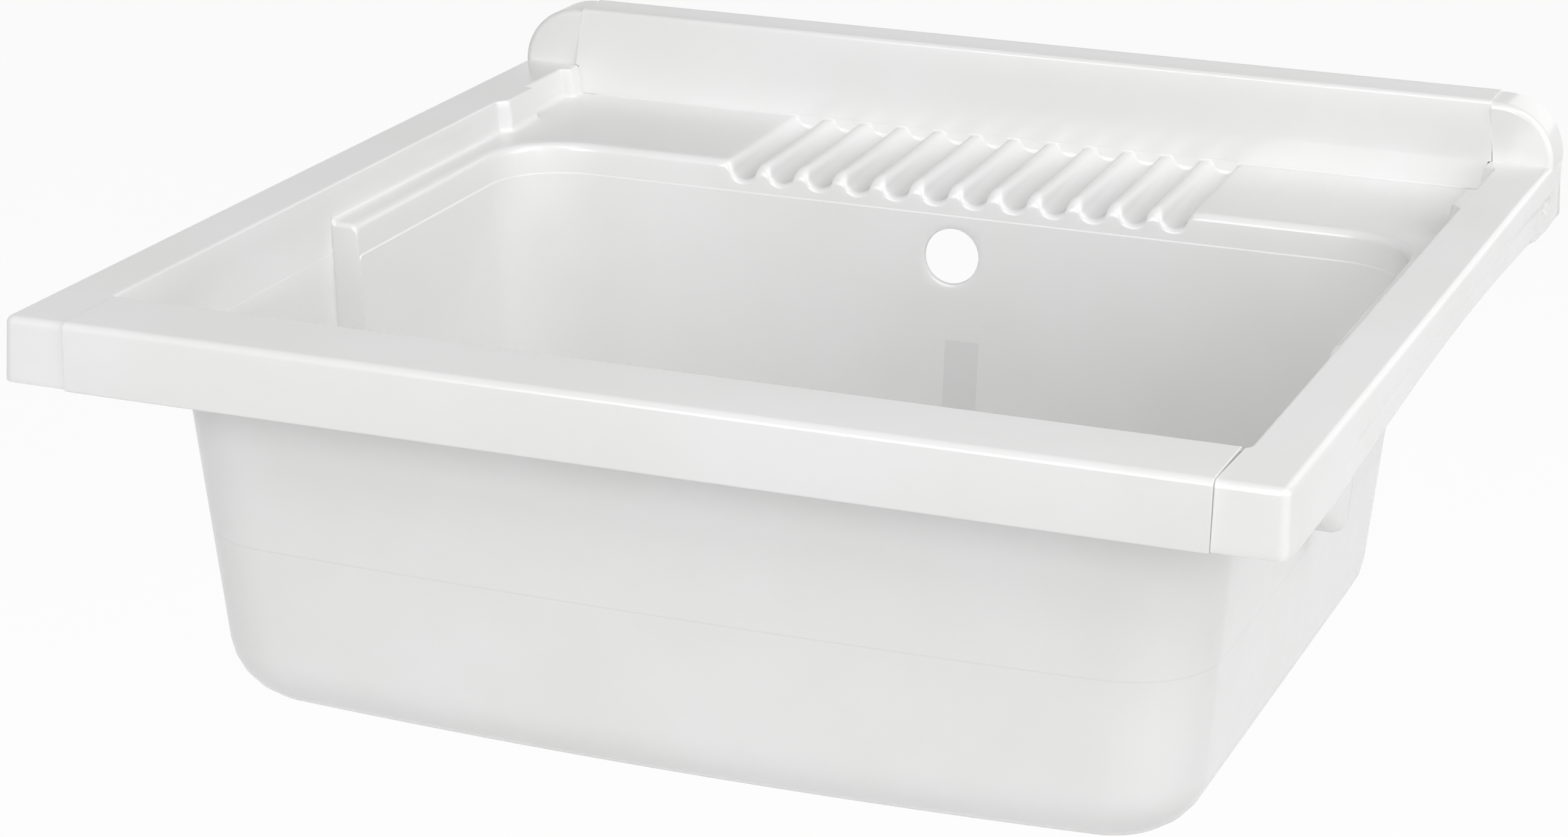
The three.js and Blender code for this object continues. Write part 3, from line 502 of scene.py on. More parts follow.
@dataclass
class Tub:
    """The one-piece moulding: rim, recess, rear deck with washboard, bowl, overflow hole and drain.

    Either face of its wall is a grid: columns lie round the tub, and rows run down its profile. The two
    grids are joined at the skirt's lower edge, in the overflow hole and in the drain.
    """

    sizes: TubSizes = field(default_factory=TubSizes)

    def __post_init__(self) -> None:
        """Lay out the columns."""
        self.columns = plan_columns(self.sizes)

    # -- forms that change from column to column ------------------------------------------------------------

    def jog(self) -> np.ndarray:
        """How far each column's recess wall stands in, along x.

        A pad has an S-curved front and a square rear end, and the wall next to the splash stands in as well.

        Returns:
            A distance for each column.
        """
        z, y = self.sizes, self.columns.recess[:, 1]
        front = smooth_step((y - z.pad_front) / z.pad_rise)
        rear = np.clip((z.pad_rear - y) / 0.3 + 0.5, 0.0, 1.0)
        near_splash = z.splash_jog * smooth_step((y - z.splash_jog_front) / 2.4)
        beside = self.columns.on_side_wall & (y > -200.0)
        return np.where(beside, z.pad_depth * front * rear + near_splash, 0.0)

    def skirt_edge(self) -> np.ndarray:
        """The level of the skirt's lower edge: a flattened half sine along each side.

        Returns:
            A level for each column.
        """
        z, c = self.sizes, self.columns
        along = np.clip((c.rim[:, 1] - z.arch_front) / z.arch_length, 0.0, 1.0)
        arch = z.arch * np.sin(np.pi * along) ** 0.9
        return -z.skirt + np.where(np.abs(c.rim_out[:, 0]) > 0.99, arch, 0.0)

    def scoop(self, y: np.ndarray, level: np.ndarray) -> np.ndarray:
        """Depth of the hollow in the side skirt: it starts under a slow curve and ends at a slanting line.

        Args:
            y: the columns' places along the skirt.
            level: their heights.

        Returns:
            The depth for each column.
        """
        z = self.sizes
        stations, levels = zip(*HOLLOW_EDGE)
        upper = np.interp(y, stations, levels)
        slant = z.hollow_rear - (levels[-1] - level) * z.hollow_slant
        depth = z.hollow * smooth_step((upper - level) / 5.0)
        return depth * smooth_step((slant - y) / 5.0) * smooth_step((y - z.hollow_front) / 40.0)

    def deck_height(self, y: np.ndarray) -> np.ndarray:
        """Level of the deck, which falls evenly from the splash to the bowl.

        Args:
            y: places along the deck.

        Returns:
            The level at each place.
        """
        z = self.sizes
        share = np.clip((z.board_rear - y) / (z.board_rear - z.deck_front), 0.0, 1.0)
        return z.deck + (z.deck_lip - z.deck) * share

    def groove(self, x: np.ndarray, y: np.ndarray | float) -> np.ndarray:
        """Depth of the washboard below the deck.

        A groove's section is a circular hollow that meets a circular shoulder on either side. It is cut
        to a depth that grows towards the bowl, and a deeper groove is wider and has steeper flanks.

        Args:
            x: places across the washboard.
            y: places along the grooves.

        Returns:
            The depth at each place, 0 beyond the washboard.
        """
        z = self.sizes
        toward = np.clip((z.board_rear - y) / (z.board_rear - z.bowl_back), 0.0, 1.0)
        depth = z.groove_back + (z.groove_front - z.groove_back) * toward
        along = (x + z.board_half) / z.groove_pitch
        from_middle = np.abs(along - np.floor(along) - 0.5) * z.groove_pitch
        both = z.hollow_round + z.shoulder_round
        steep = np.arccos(1.0 - depth / both)
        turn, end = z.hollow_round * np.sin(steep), both * np.sin(steep)
        hollow = depth - z.hollow_round + np.sqrt(np.maximum(z.hollow_round**2 - from_middle**2, 0.0))
        beyond = np.clip(end - from_middle, 0.0, z.shoulder_round)
        shoulder = z.shoulder_round - np.sqrt(z.shoulder_round**2 - beyond**2)
        section = np.where(from_middle <= turn, hollow, shoulder)
        return np.where(np.abs(x) < z.board_half, section, 0.0)

    def pocket_level(self, y: np.ndarray) -> np.ndarray:
        """Level of the sloping floor of the bowl's wider front half.

        Args:
            y: places along the floor.

        Returns:
            The level at each place.
        """
        z = self.sizes
        slope = (z.pocket_depth + z.pocket_top) / (z.pocket_end - z.bowl_front)
        return np.minimum(z.deck_lip, z.pocket_top - slope * (y - z.bowl_front))

    def below_step(self, level: np.ndarray) -> np.ndarray:
        """0 above the fine step in the walls and 1 below it."""
        return smooth_step((self.sizes.step_level + 0.3 - level) / 0.6)

    def wall_inset(self, level: np.ndarray, grow: float) -> np.ndarray:
        """How far the recess wall leans in at a level: more steeply over its first stretch.

        Args:
            level: a level for each column.
            grow: 0 for the upper face, or the wall's thickness for the lower one.

        Returns:
            The inset for each column.
        """
        z = self.sizes
        upper = z.lean * np.clip(-level / z.lean_height, 0.0, 1.0)
        lower = z.lean_below * np.clip(-level - z.lean_height, 0.0, None)
        return upper + lower + z.wall_step * self.below_step(level) - grow

    def bowl_inset(self, level: np.ndarray, upper: bool) -> np.ndarray:
        """Distance of the bowl's surface in from the outside, with the fine step on the upper face."""
        z = self.sizes
        return z.wall + z.step * self.below_step(level) if upper else np.zeros_like(level)

    # -- outlines -------------------------------------------------------------------------------------------

    def bowl_point(self, inset: np.ndarray | float, level: np.ndarray | float) -> np.ndarray:
        """Points of the bowl's drafted outline.

        The outline is a rectangle with round corners. It shrinks with depth, and its front edge bows out
        by a parabola. Moving in by the inset makes the corner radius smaller by as much.

        Args:
            inset: distance in from the outside of the wall.
            level: height.

        Returns:
            An array of columns by 3.
        """
        z, c = self.sizes, self.columns
        down = -level / z.bowl_depth
        half = z.bowl_half - z.side_draft * down - inset
        front = z.bowl_front + z.front_draft * down + inset
        back = z.bowl_back - z.back_draft * down - inset
        radius = z.bowl_corner - inset
        straight = half - radius
        value = c.bowl_value
        angle = np.radians(value)
        steady = z.steady_half
        share = np.clip((np.abs(value) - steady) / (z.bowl_half - z.bowl_corner - steady), 0.0, 1.0)
        across = np.minimum(np.abs(value), steady) + share * (straight - steady)
        bow = z.bow * down * (1.0 - (across / straight) ** 2)
        front_end, rear_end = front + radius, back - radius
        marks = [z.side_front, z.steady_front, z.steady_rear, z.side_rear]
        along = np.interp(value, marks, [0.0, 1.0, 2.0, 3.0])
        at_front = front_end + (z.steady_front - front_end) * along
        at_rear = z.steady_rear + (rear_end - z.steady_rear) * (along - 2.0)
        part = c.bowl_part
        x = np.select(
            [(part == FRONT) | (part == REAR), part == SIDE],
            [across, half],
            straight + radius * np.cos(angle),
        )
        y = np.select(
            [part == FRONT, part == FRONT_CORNER, part == SIDE, part == REAR_CORNER],
            [
                front - bow,
                front_end + radius * np.sin(angle),
                np.select([along < 1.0, along > 2.0], [at_front, at_rear], value),
                rear_end + radius * np.sin(angle),
            ],
            back,
        )
        return np.stack([x * c.side, y, np.broadcast_to(level, x.shape)], axis=1)

    def recess_point(self, inset: np.ndarray | float, level: np.ndarray) -> np.ndarray:
        """Points moved in from the recess's upper edge.

        The tight rear corners hold the inset below their radius, so that their columns don't cross.

        Args:
            inset: distance in from the edge.
            level: height.

        Returns:
            An array of columns by 3.
        """
        z, c = self.sizes, self.columns
        tight = (c.bowl_part == REAR_CORNER) & c.on_side_wall & (np.abs(c.recess_in[:, 1]) > 1e-3)
        held = np.where(tight, np.minimum(inset, z.recess_rear_corner - 0.1), inset)
        plan = c.recess + c.recess_in * held[:, None]
        plan[:, 0] -= c.side * self.jog()
        return np.column_stack([plan, np.broadcast_to(level, len(plan))])

    def rim_point(self, out: np.ndarray | float, level: np.ndarray) -> np.ndarray:
        """Points moved out from the rim's upper outline.

        Args:
            out: distance out, the same for all columns or one for each.
            level: height.

        Returns:
            An array of columns by 3.
        """
        c = self.columns
        plan = c.rim + c.rim_out * np.broadcast_to(out, c.count)[:, None]
        return np.column_stack([plan, np.broadcast_to(level, len(plan))])

    def drain_ring(self, direction: np.ndarray, radius: float, level: float) -> np.ndarray:
        """A circle about the drain's axis, with a point in each column's direction."""
        x, y = radius * np.cos(direction), self.sizes.drain_y + radius * np.sin(direction)
        return np.stack([x, y, np.full(len(direction), level)], axis=1)

    # -- which columns pass under a cover -------------------------------------------------------------------

    def under_cover(self) -> np.ndarray:
        """Whether a column lies under the front cover."""
        c = self.columns
        return (c.rim_out[:, 1] < -0.99) & (np.abs(c.rim[:, 0]) < self.sizes.cover_half)

    def behind_cover(self) -> np.ndarray:
        """Whether a column runs under the splash cover."""
        c = self.columns
        return (c.recess_in[:, 1] < -0.9999) & (np.abs(c.recess[:, 0]) < self.sizes.splash_half)

    def cover_end(self) -> np.ndarray:
        """The column nearest to either end of the splash cover. It stays behind the cover's front."""
        return self.behind_cover() & (np.abs(self.columns.recess[:, 0]) > self.sizes.splash_end)

    # -- the profile from the recess to the drain -----------------------------------------------------------

    def deck_shelf(self) -> Shelf:
        """The deck and the narrow strip that runs on from it.

        The ridges end in rounder noses, and the grooves in sharper mouths.

        Returns:
            The shelf.
        """
        z, c = self.sizes, self.columns
        y = c.recess[:, 1]
        mouth = self.groove(c.board_x, z.bowl_back)
        ridge = 1.0 - mouth / z.groove_front
        rounder = z.nose * ridge - z.mouth * (1.0 - ridge)
        lip = z.lip + rounder * smooth_step((z.board_half - np.abs(c.board_x)) / 4.0)
        return Shelf(
            foot_level=self.deck_height(y),
            lip_level=z.deck_lip - mouth,
            foot=1.2 + (z.foot - 1.2) * smooth_step((-30.0 - y) / 5.0),
            lip=1.0 + (lip - 1.0) * smooth_step((y + 545.0) / 30.0),
            board=True,
        )

    def pocket_shelf(self) -> Shelf:
        """The floor of the wider front half, whose rounds grow with its depth.

        Returns:
            The shelf.
        """
        z, deck = self.sizes, self.deck_shelf()
        level = self.pocket_level(np.minimum(self.columns.recess[:, 1], z.pocket_end))
        deep = np.clip((z.deck_lip - level) / 15.0, 0.0, 1.0)
        return Shelf(
            foot_level=level,
            lip_level=level,
            foot=deck.foot + (z.pocket_foot - deck.foot) * deep,
            lip=deck.lip + (z.pocket_lip - deck.lip) * deep,
            board=False,
        )

    def recess_rows(self, shelf: Shelf, face: Face, grow: float) -> list[np.ndarray]:
        """Rows over the recess's edge, down its wall and through a hollow fillet on to the shelf.

        Args:
            shelf: what the wall stands on.
            face: which face of the wall.
            grow: how deep that face lies.

        Returns:
            A list of rows, each an array of columns by 3.
        """
        z = self.sizes
        top = np.where(self.under_cover(), z.flange, 0.0) - grow
        if face.upper:
            turns = np.radians([0.0, 22.5, 45.0, 67.5, 90.0])
            edge = [(z.inner_edge * (math.sin(a) - 1.0), z.inner_edge * (1.0 - math.cos(a))) for a in turns]
        else:
            edge = [(-grow - 2.0, 0.0), (-grow - 0.6, 0.0), (-grow, 0.6)]
        rows = [self.recess_point(inset, top - drop) for inset, drop in edge]
        start = top - edge[-1][1]
        foot = shelf.foot + grow
        stop = shelf.foot_level - grow + foot
        marked = len(face.wall_marks)
        for i in range(face.wall_steps):
            even = start + (stop - start) * (i + 1) / face.wall_steps
            if i < marked:
                special = np.full(self.columns.count, face.wall_marks[i])
            else:
                base = face.wall_marks[-1] if marked else start
                special = base + (stop - base) * (i - marked + 1) / (face.wall_steps - marked)
            level = np.where(stop < -37.0, special, even)
            rows.append(self.recess_point(self.wall_inset(level, grow), level))
        foot_inset = self.wall_inset(stop, grow)
        for a in np.radians(face.foot_turn):
            rows.append(self.recess_point(foot_inset + foot * (1.0 - math.cos(a)), stop - foot * math.sin(a)))
        return rows

    def turning_point(self, inner: np.ndarray, outer: np.ndarray) -> np.ndarray:
        """Where each column turns on its way over the shelf.

        Beside the deck a column first crosses to a line clear of the pads at its own y, and only then
        runs to the bowl, so that no column passes through a pad. Elsewhere it runs straight.

        Args:
            inner: the points at the foot of the recess wall.
            outer: the points at the bowl's lip.

        Returns:
            An array of columns by 3.
        """
        z, c = self.sizes, self.columns
        straight = inner + (outer - inner) * TURN
        past = c.recess[:, 1] - z.beside_pads
        share = np.where(c.on_side_wall & (past > 0.0), smooth_step(past / 8.0), 0.0)[:, None]
        clear = inner.copy()
        clear[:, 0] = c.side * (z.clear_of_pads - 0.55 * np.maximum(c.bowl_value - 44.0, 0.0))
        turn = straight + (clear - straight) * share
        return np.where(self.cover_end()[:, None], inner + (outer - inner) * 0.004, turn)

    def inner_rows(self, shelf: Shelf, face: Face) -> list[np.ndarray]:
        """Rows from the recess's upper edge to the bowl's straight wall.

        Down the recess wall, over the shelf, round the lip and down the wall past the overflow hole.

        Args:
            shelf: what lies between the two walls.
            face: which face of the wall.

        Returns:
            A list of rows, each an array of columns by 3.
        """
        z, c = self.sizes, self.columns
        grow = 0.0 if face.upper else z.wall
        rows = self.recess_rows(shelf, face, grow)
        if face.upper:
            self.pass_under_cover(rows)
        else:
            self.pass_under_cover_below(rows)
        inner = rows[-1]
        lip = np.maximum(shelf.lip - grow, 1.2)
        base_inset = z.wall - grow
        outer = self.bowl_point(base_inset - lip, shelf.lip_level - grow)
        turn = self.turning_point(inner, outer)
        for t in face.across:
            if t <= TURN:
                point = inner + (turn - inner) * (t / TURN)
            else:
                point = turn + (outer - turn) * ((t - TURN) / (1.0 - TURN))
            if shelf.board:
                x = np.where(c.bowl_part == REAR, point[:, 0], c.board_x)
                point[:, 2] = self.deck_height(point[:, 1]) - grow - self.groove(x, point[:, 1])
            rows.append(point)
        at_lip = rows[-1][:, 2]
        for a in np.radians(face.lip_turn):
            rows.append(
                self.bowl_point(base_inset - lip * (1.0 - math.sin(a)), at_lip - lip * (1.0 - math.cos(a)))
            )
        begin = at_lip - lip
        highest = z.step_level + 0.35
        marks = [highest, z.step_level, z.step_level - 0.35, *(z.hole_level + HOLE_ROWS), *face.low_marks]
        first, last = highest + 0.35, marks[-1]
        for mark in marks:
            squeezed = begin + (mark - first) / (last - first) * (last - begin)
            level = np.where(begin > highest + 0.2, mark, squeezed)
            rows.append(self.bowl_point(self.bowl_inset(level, face.upper), level))
        return rows

    def pass_under_cover(self, rows: list[np.ndarray]) -> None:
        """Lead the columns under the splash cover over an upstand, and up to the cover's face.

        The washboard ends in a low bead that closes the seam below the cover.

        Args:
            rows: the recess's rows on the upper face, changed in place.
        """
        z, c = self.sizes, self.columns
        board = z.deck - self.groove(c.board_x, -31.4)
        upstand = [(-21.4, -16.0), (-21.4, 28.9), (-22.0, 29.5), (-23.8, 29.5), (-24.4, 28.9)]
        front = [(-24.4, 20.0), (-24.4, 10.0), (-24.4, 0.0), (-24.4, -10.0), (-24.4, -15.0)]
        seam = [(-25.2, -16.0), (-29.9, -16.0), (-30.02, -15.9)]
        seam += [(-30.02, -15.3), (-30.12, -15.1), (-30.3, -15.35)]
        bead = [(-30.35, 0.45), (-30.7, 0.14), (-31.4, 0.0)]
        behind = self.behind_cover()
        path = upstand + front + seam
        for row, place in zip(rows, path):
            row[behind, 1:] = place
        for i, (y, above) in enumerate(bead):
            row = rows[len(path) + i]
            row[behind, 1] = y
            row[behind, 2] = np.minimum(board + above, -15.45 - 0.1 * i)[behind]
        # the last column stands clear of the cover's end, and then runs forward below it
        end = self.cover_end()
        low = len(upstand) + len(front)
        for i in range(len(upstand), len(rows)):
            rows[i][end, 0] = (c.side * (262.0 - 6.4 * min((i - len(upstand)) / 4.0, 1.0)))[end]
            if i >= low:
                rows[i][end, 1] = -24.4 - 3.1 * (i - low + 1) / (len(rows) - low)
                rows[i][end, 2] = z.deck

    def pass_under_cover_below(self, rows: list[np.ndarray]) -> None:
        """The same on the lower face, which stays a wall's thickness below.

        Args:
            rows: the recess's rows on the lower face, changed in place.
        """
        z, c = self.sizes, self.columns
        behind = self.behind_cover()
        flat = [-20.0, -22.0, -24.0, -25.5, -27.0, -28.5, -30.0]
        for row, y in zip(rows, flat):
            row[behind, 1:] = (y, z.deck - z.wall)
        for row, y in zip(rows[len(flat) :], [-31.5, -33.0, -35.0]):
            row[behind, 1] = y
            level = self.deck_height(np.full(c.count, y)) - self.groove(c.board_x, y) - z.wall
            row[behind, 2] = level[behind]

    def blend_end_face(
        self,
        deck: list[np.ndarray],
        pocket: list[np.ndarray],
        grow: float,
    ) -> list[np.ndarray]:
        """Join the two kinds of profile by the pocket's end face, with a round edge on either side.

        A point moves from the pocket's profile to the deck's one along the line between them, and on the
        way it follows a quarter circle at each end.

        Args:
            deck: rows behind the pocket.
            pocket: rows of the pocket.
            grow: 0 for the upper face, or the wall's thickness for the lower one.

        Returns:
            The joined rows.
        """
        z, c = self.sizes, self.columns
        face = z.pocket_end + grow
        number = c.end_face
        gap = 0.05
        in_front = c.recess[:, 1] < z.pocket_end - z.pocket_round - 0.1
        in_pocket = in_front & (np.abs(c.recess_in[:, 1]) < 0.99)
        first = np.radians(90.0 * number / END_FACE_STEPS)
        second = np.radians(90.0 * (number - END_FACE_STEPS - 1.0) / END_FACE_STEPS)
        leaving = number <= END_FACE_STEPS
        before = face - z.pocket_round - gap + z.pocket_round * np.sin(first)
        after = face + gap + z.pocket_round * (1.0 - np.cos(second))
        joined_rows = []
        for a, b in zip(deck, pocket):
            row = np.where(in_pocket[:, None], b, a)
            span = b - a
            length = np.linalg.norm(span[:, [0, 2]], axis=1)
            safe = np.where(length > 1e-6, length, 1.0)
            radius = np.minimum(z.pocket_round, length / 2.0)
            from_pocket = radius * (1.0 - np.cos(first))
            from_deck = radius * (1.0 - np.sin(second))
            share = np.where(leaving, 1.0 - from_pocket / safe, from_deck / safe)
            moved = a + span * share[:, None]
            moved[:, 1] = np.where(leaving, before, after)
            joined_rows.append(np.where((number >= 0)[:, None], moved, row))
        return joined_rows

    def bowl_rows(self, face: Face) -> list[np.ndarray]:
        """Rows down the bowl's wall, round the fillet, over the floor and into the drain.

        Args:
            face: which face of the wall.

        Returns:
            A list of rows, each an array of columns by 3.
        """
        z = self.sizes
        inside = z.wall if face.upper else 0.0
        fillet = z.fillet - inside
        floor = inside - z.bowl_depth
        base = z.wall + z.step if face.upper else 0.0
        start = face.low_marks[-1]
        rows = [self.bowl_point(base, start + (floor + fillet - start) * t) for t in face.straight]
        for a in np.radians(90.0 * np.arange(1, face.fillet_steps + 1) / face.fillet_steps):
            inset = base + fillet * (1.0 - math.cos(a))
            rows.append(self.bowl_point(inset, floor + fillet * (1.0 - math.sin(a))))
        rim = rows[-1]
        direction = np.arctan2(rim[:, 1] - z.drain_y, rim[:, 0])
        low = floor - z.floor_fall
        centre = self.drain_ring(direction, z.drain_radius + 13.0, low)
        rows += [rim + (centre - rim) * t for t in face.floor]
        # the recess for the strainer's flange, as radius and level, and the drain's bore
        if face.upper:
            seat = [(37.9, low), (37.3, low - 0.5), (37.0, low - 3.0), (z.drain_radius + 1.0, low - 3.0)]
            seat += [(z.drain_radius + 0.2, low - 3.3), (z.drain_radius, low - 5.0), (z.drain_radius, -215.0)]
        else:
            seat = [(43.0, low), (41.8, low - 1.0), (41.0, low - 4.0), (z.drain_radius + 0.3, low - 4.0)]
        return rows + [self.drain_ring(direction, radius, level) for radius, level in seat]

    def rows_from_rim(self, rim: list[np.ndarray], face: Face) -> tuple[list[np.ndarray], int]:
        """All the rows of a face.

        Args:
            rim: the rows from the skirt's lower edge to the recess.
            face: which face of the wall.

        Returns:
            The rows down to the drain, and the number of the first one round the overflow hole.
        """
        deck = self.inner_rows(self.deck_shelf(), face)
        pocket = self.inner_rows(self.pocket_shelf(), face)
        rows = rim + self.blend_end_face(deck, pocket, 0.0 if face.upper else self.sizes.wall)
        hole_row = len(rows) - len(face.low_marks) - len(HOLE_ROWS)
        return rows + self.bowl_rows(face), hole_row

    def upper_rim(self) -> list[np.ndarray]:
        """Rows from the skirt's lower edge, up its outside and over the rail to the recess.

        Returns:
            A list of rows, each an array of columns by 3.
        """
        z, c = self.sizes, self.columns
        covered, behind = self.under_cover(), self.behind_cover()
        square = (c.rim_out[:, 1] > 0.01) | covered
        back = np.where(covered, -z.flange_back, 0.0)
        flare = np.where(square, 0.0, z.flare)
        rounding = np.where(square, 0.7, z.edge_round)
        top = np.where(covered, z.flange, np.where(behind, 5.0, 0.0))
        low = self.skirt_edge()

        def skirt(level: np.ndarray, out: float = 0.0) -> np.ndarray:
            """The flared skirt at a level, with its hollow."""
            hollow = np.where(np.abs(c.rim_out[:, 0]) > 0.9, self.scoop(c.rim[:, 1], level), 0.0)
            return self.rim_point(back + flare * (-level / z.skirt) - hollow + out, level)

        rows = [skirt(low, -2.2), skirt(low, -0.9), skirt(low + 0.26, -0.26)]
        start = low + 0.9
        rows += [skirt(start + (top - rounding - start) * t) for t in np.linspace(0.0, 1.0, 13)]
        for a in np.radians([15.0, 30.0, 45.0, 60.0, 75.0, 90.0]):
            lean = flare * rounding / z.skirt * math.cos(a)
            out = back + lean - rounding * (1.0 - math.cos(a))
            rows.append(self.rim_point(out, top - rounding * (1.0 - math.sin(a))))
        inner = self.recess_point(-z.inner_edge, np.where(covered, z.flange, 0.0))
        edge = rows[-1]
        for t, wall_lip in zip((0.02, 0.5, 0.98), [(-2.6, 5.0), (-3.0, 4.6), (-3.0, z.deck)]):
            row = edge + (inner - edge) * t
            row[behind, 1:] = wall_lip
            rows.append(row)
        return rows

    def lower_rim(self) -> list[np.ndarray]:
        """Rows from the skirt's lower edge, up its inside and along the rail's underside.

        Returns:
            A list of rows, each an array of columns by 3.
        """
        z, c = self.sizes, self.columns
        covered = self.under_cover()
        top = np.where(covered, z.flange, np.where(self.behind_cover(), z.deck, 0.0)) - z.wall
        low = self.skirt_edge()
        rear = c.rim_out[:, 1] > 0.01
        out = np.where(covered, -z.flange_back, 0.0) - np.where(rear, z.wall, z.skirt_wall)
        start = low + 0.6
        rows = [self.rim_point(out + 0.6, low), self.rim_point(out, start)]
        rows += [self.rim_point(out, start + (top - 2.0 - start) * t) for t in (0.35, 0.7, 1.0)]
        return rows + [self.rim_point(out - 0.6, top - 0.6), self.rim_point(out - 2.0, top)]

    # -- the overflow hole and the slots --------------------------------------------------------------------

    def open_hole(self, rows: list[np.ndarray], first_row: int, inside: bool) -> None:
        """Bend the block of points round the hole into circles.

        The block's edge becomes the bore, the next ring a small round, and the third lies flush. The
        fourth eases back to the straight grid.

        Args:
            rows: the surface's rows, changed in place.
            first_row: the row of the first of the heights round the hole.
            inside: whether this is the bowl's inner surface.
        """
        z, c = self.sizes, self.columns
        rings = [(z.hole_radius, 1.0, 1.3), (z.hole_radius + 0.4, 1.0, 0.4)]
        rings += [(z.hole_radius + 1.3, 1.0, 0.0), (z.hole_radius + 2.6, 0.35, 0.0)]
        for k in range(-HOLE_UP - 3, HOLE_UP + 4):
            row = rows[first_row + HOLE_MIDDLE + k]
            up = HOLE_ROWS[HOLE_MIDDLE + k]
            for i in range(-HOLE_ACROSS - 3, HOLE_ACROSS + 4):
                layer = max(abs(i) - HOLE_ACROSS, abs(k) - HOLE_UP)
                if layer < 0:
                    continue
                radius, ease, sunk = rings[layer]
                x = row[c.middle + i, 0]
                pull = 1.0 + (radius / math.hypot(x, up) - 1.0) * ease
                height = z.hole_level + up * pull
                y = z.bowl_back - z.back_draft * (-height / z.bowl_depth)
                row[c.middle + i] = (x * pull, y - z.wall - z.step + sunk if inside else y - sunk, height)

    def in_hole(self, faces: np.ndarray, first_row: int, shift: int) -> np.ndarray:
        """Which faces lie inside the hole's bore.

        Args:
            faces: faces of a grid.
            first_row: the row of the first of the heights round the hole.
            shift: the number of the grid's first point.

        Returns:
            True or False for each face.
        """
        count = self.columns.count
        row = (faces - shift) // count - (first_row + HOLE_MIDDLE)
        column = (faces - shift) % count - self.columns.middle
        return ((np.abs(row) <= HOLE_UP) & (np.abs(column) <= HOLE_ACROSS)).all(axis=1)

    def hole_edge(self, first_row: int, shift: int) -> np.ndarray:
        """The numbers of the points on the bore's edge, in order.

        Args:
            first_row: the row of the first of the heights round the hole.
            shift: the number of the grid's first point.

        Returns:
            An array of point numbers.
        """
        a, b = HOLE_ACROSS, HOLE_UP
        steps = [(i, -b) for i in range(-a, a)] + [(a, k) for k in range(-b, b)]
        steps += [(-i, -k) for i, k in steps]
        middle = shift + (first_row + HOLE_MIDDLE) * self.columns.count + self.columns.middle
        return np.array([middle + k * self.columns.count + i for i, k in steps])

    def cut_wall_slots(self, tub: bpy.types.Object) -> None:
        """Cut the two upright slots in the wall face, in which the wall's screws hang.

        Args:
            tub: the tub, whose mesh is replaced.
        """
        z = self.sizes
        outline = arc_points((0.0, z.slot_high), z.slot_radius, 0.0, 180.0, 12)
        outline += arc_points((0.0, z.slot_low), z.slot_radius, 180.0, 360.0, 12)
        slots = [[(x + across, up) for across, up in outline] for x in (-z.slot_x, z.slot_x)]
        cutter = finish_mesh("slot_cutter", *joined([plate(slot, False, -1.0, 8.0) for slot in slots]))
        cut = tub.modifiers.new("wall_slots", "BOOLEAN")
        cut.object = cutter
        cut.operation = "DIFFERENCE"
        mesh = bpy.data.meshes.new_from_object(tub.evaluated_get(bpy.context.evaluated_depsgraph_get()))
        tub.modifiers.clear()
        tub.data = mesh
        bpy.data.objects.remove(cutter)
        # the cut leaves one sliver open, which is closed again
        shape = bmesh.new()
        shape.from_mesh(mesh)
        bmesh.ops.holes_fill(shape, edges=shape.edges, sides=4)
        shape.to_mesh(mesh)
        shape.free()
        mesh.set_sharp_from_angle(angle=math.radians(TUB_CREASE))

    def build(self) -> bpy.types.Object:
        """Make the tub's closed surface from its upper and its lower rows.

        Returns:
            The tub, with a point attribute that is 1 on its lower surface.
        """
        upper, hole_up = self.rows_from_rim(self.upper_rim(), UPPER)
        lower, hole_down = self.rows_from_rim(self.lower_rim(), LOWER)
        self.open_hole(upper, hole_up, True)
        self.open_hole(lower, hole_down, False)
        count = self.columns.count
        shift = len(upper) * count
        faces_up = grid_faces(len(upper), count)
        faces_down = grid_faces(len(lower), count, first=shift, flip=True)
        pair = grid_faces(2, count)
        skirt = np.where(pair >= count, pair - count, pair + shift)
        last_up, last_down = shift - count, shift + (len(lower) - 1) * count
        drain = np.where(pair >= count, pair - count + last_down, pair + last_up)
        ring_up, ring_down = self.hole_edge(hole_up, 0), self.hole_edge(hole_down, shift)
        around = np.roll(np.arange(len(ring_up)), -1)
        sleeve = np.stack([ring_up, ring_up[around], ring_down[around], ring_down], axis=1)
        kept_up = faces_up[~self.in_hole(faces_up, hole_up, 0)]
        kept_down = faces_down[~self.in_hole(faces_down, hole_down, shift)]
        together = np.concatenate([kept_up, kept_down, skirt, drain, sleeve])
        used, faces = np.unique(together, return_inverse=True)
        points = np.concatenate([*upper, *lower])[used]
        made = finish_mesh("tub_moulding", points, faces.reshape(-1, 4).tolist(), TUB_CREASE)
        below = made.data.attributes.new("underside", "FLOAT", "POINT")
        below.data.foreach_set("value", (used >= shift).astype(np.float32))
        self.cut_wall_slots(made)
        return made


# ---- smaller surfaces: each is an array of points and a list of faces --------------------------------------


def joined(parts: list[tuple[np.ndarray, list]]) -> tuple[np.ndarray, list]:
    """Put several surfaces into one.

    Args:
        parts: the surfaces, each as points and faces.

    Returns:
        Points and faces.
    """
    points, faces, first = [], [], 0
    for these, sides in parts:
        points.append(these)
        faces += [[first + i for i in side] for side in sides]
        first += len(these)
    return np.concatenate(points), faces


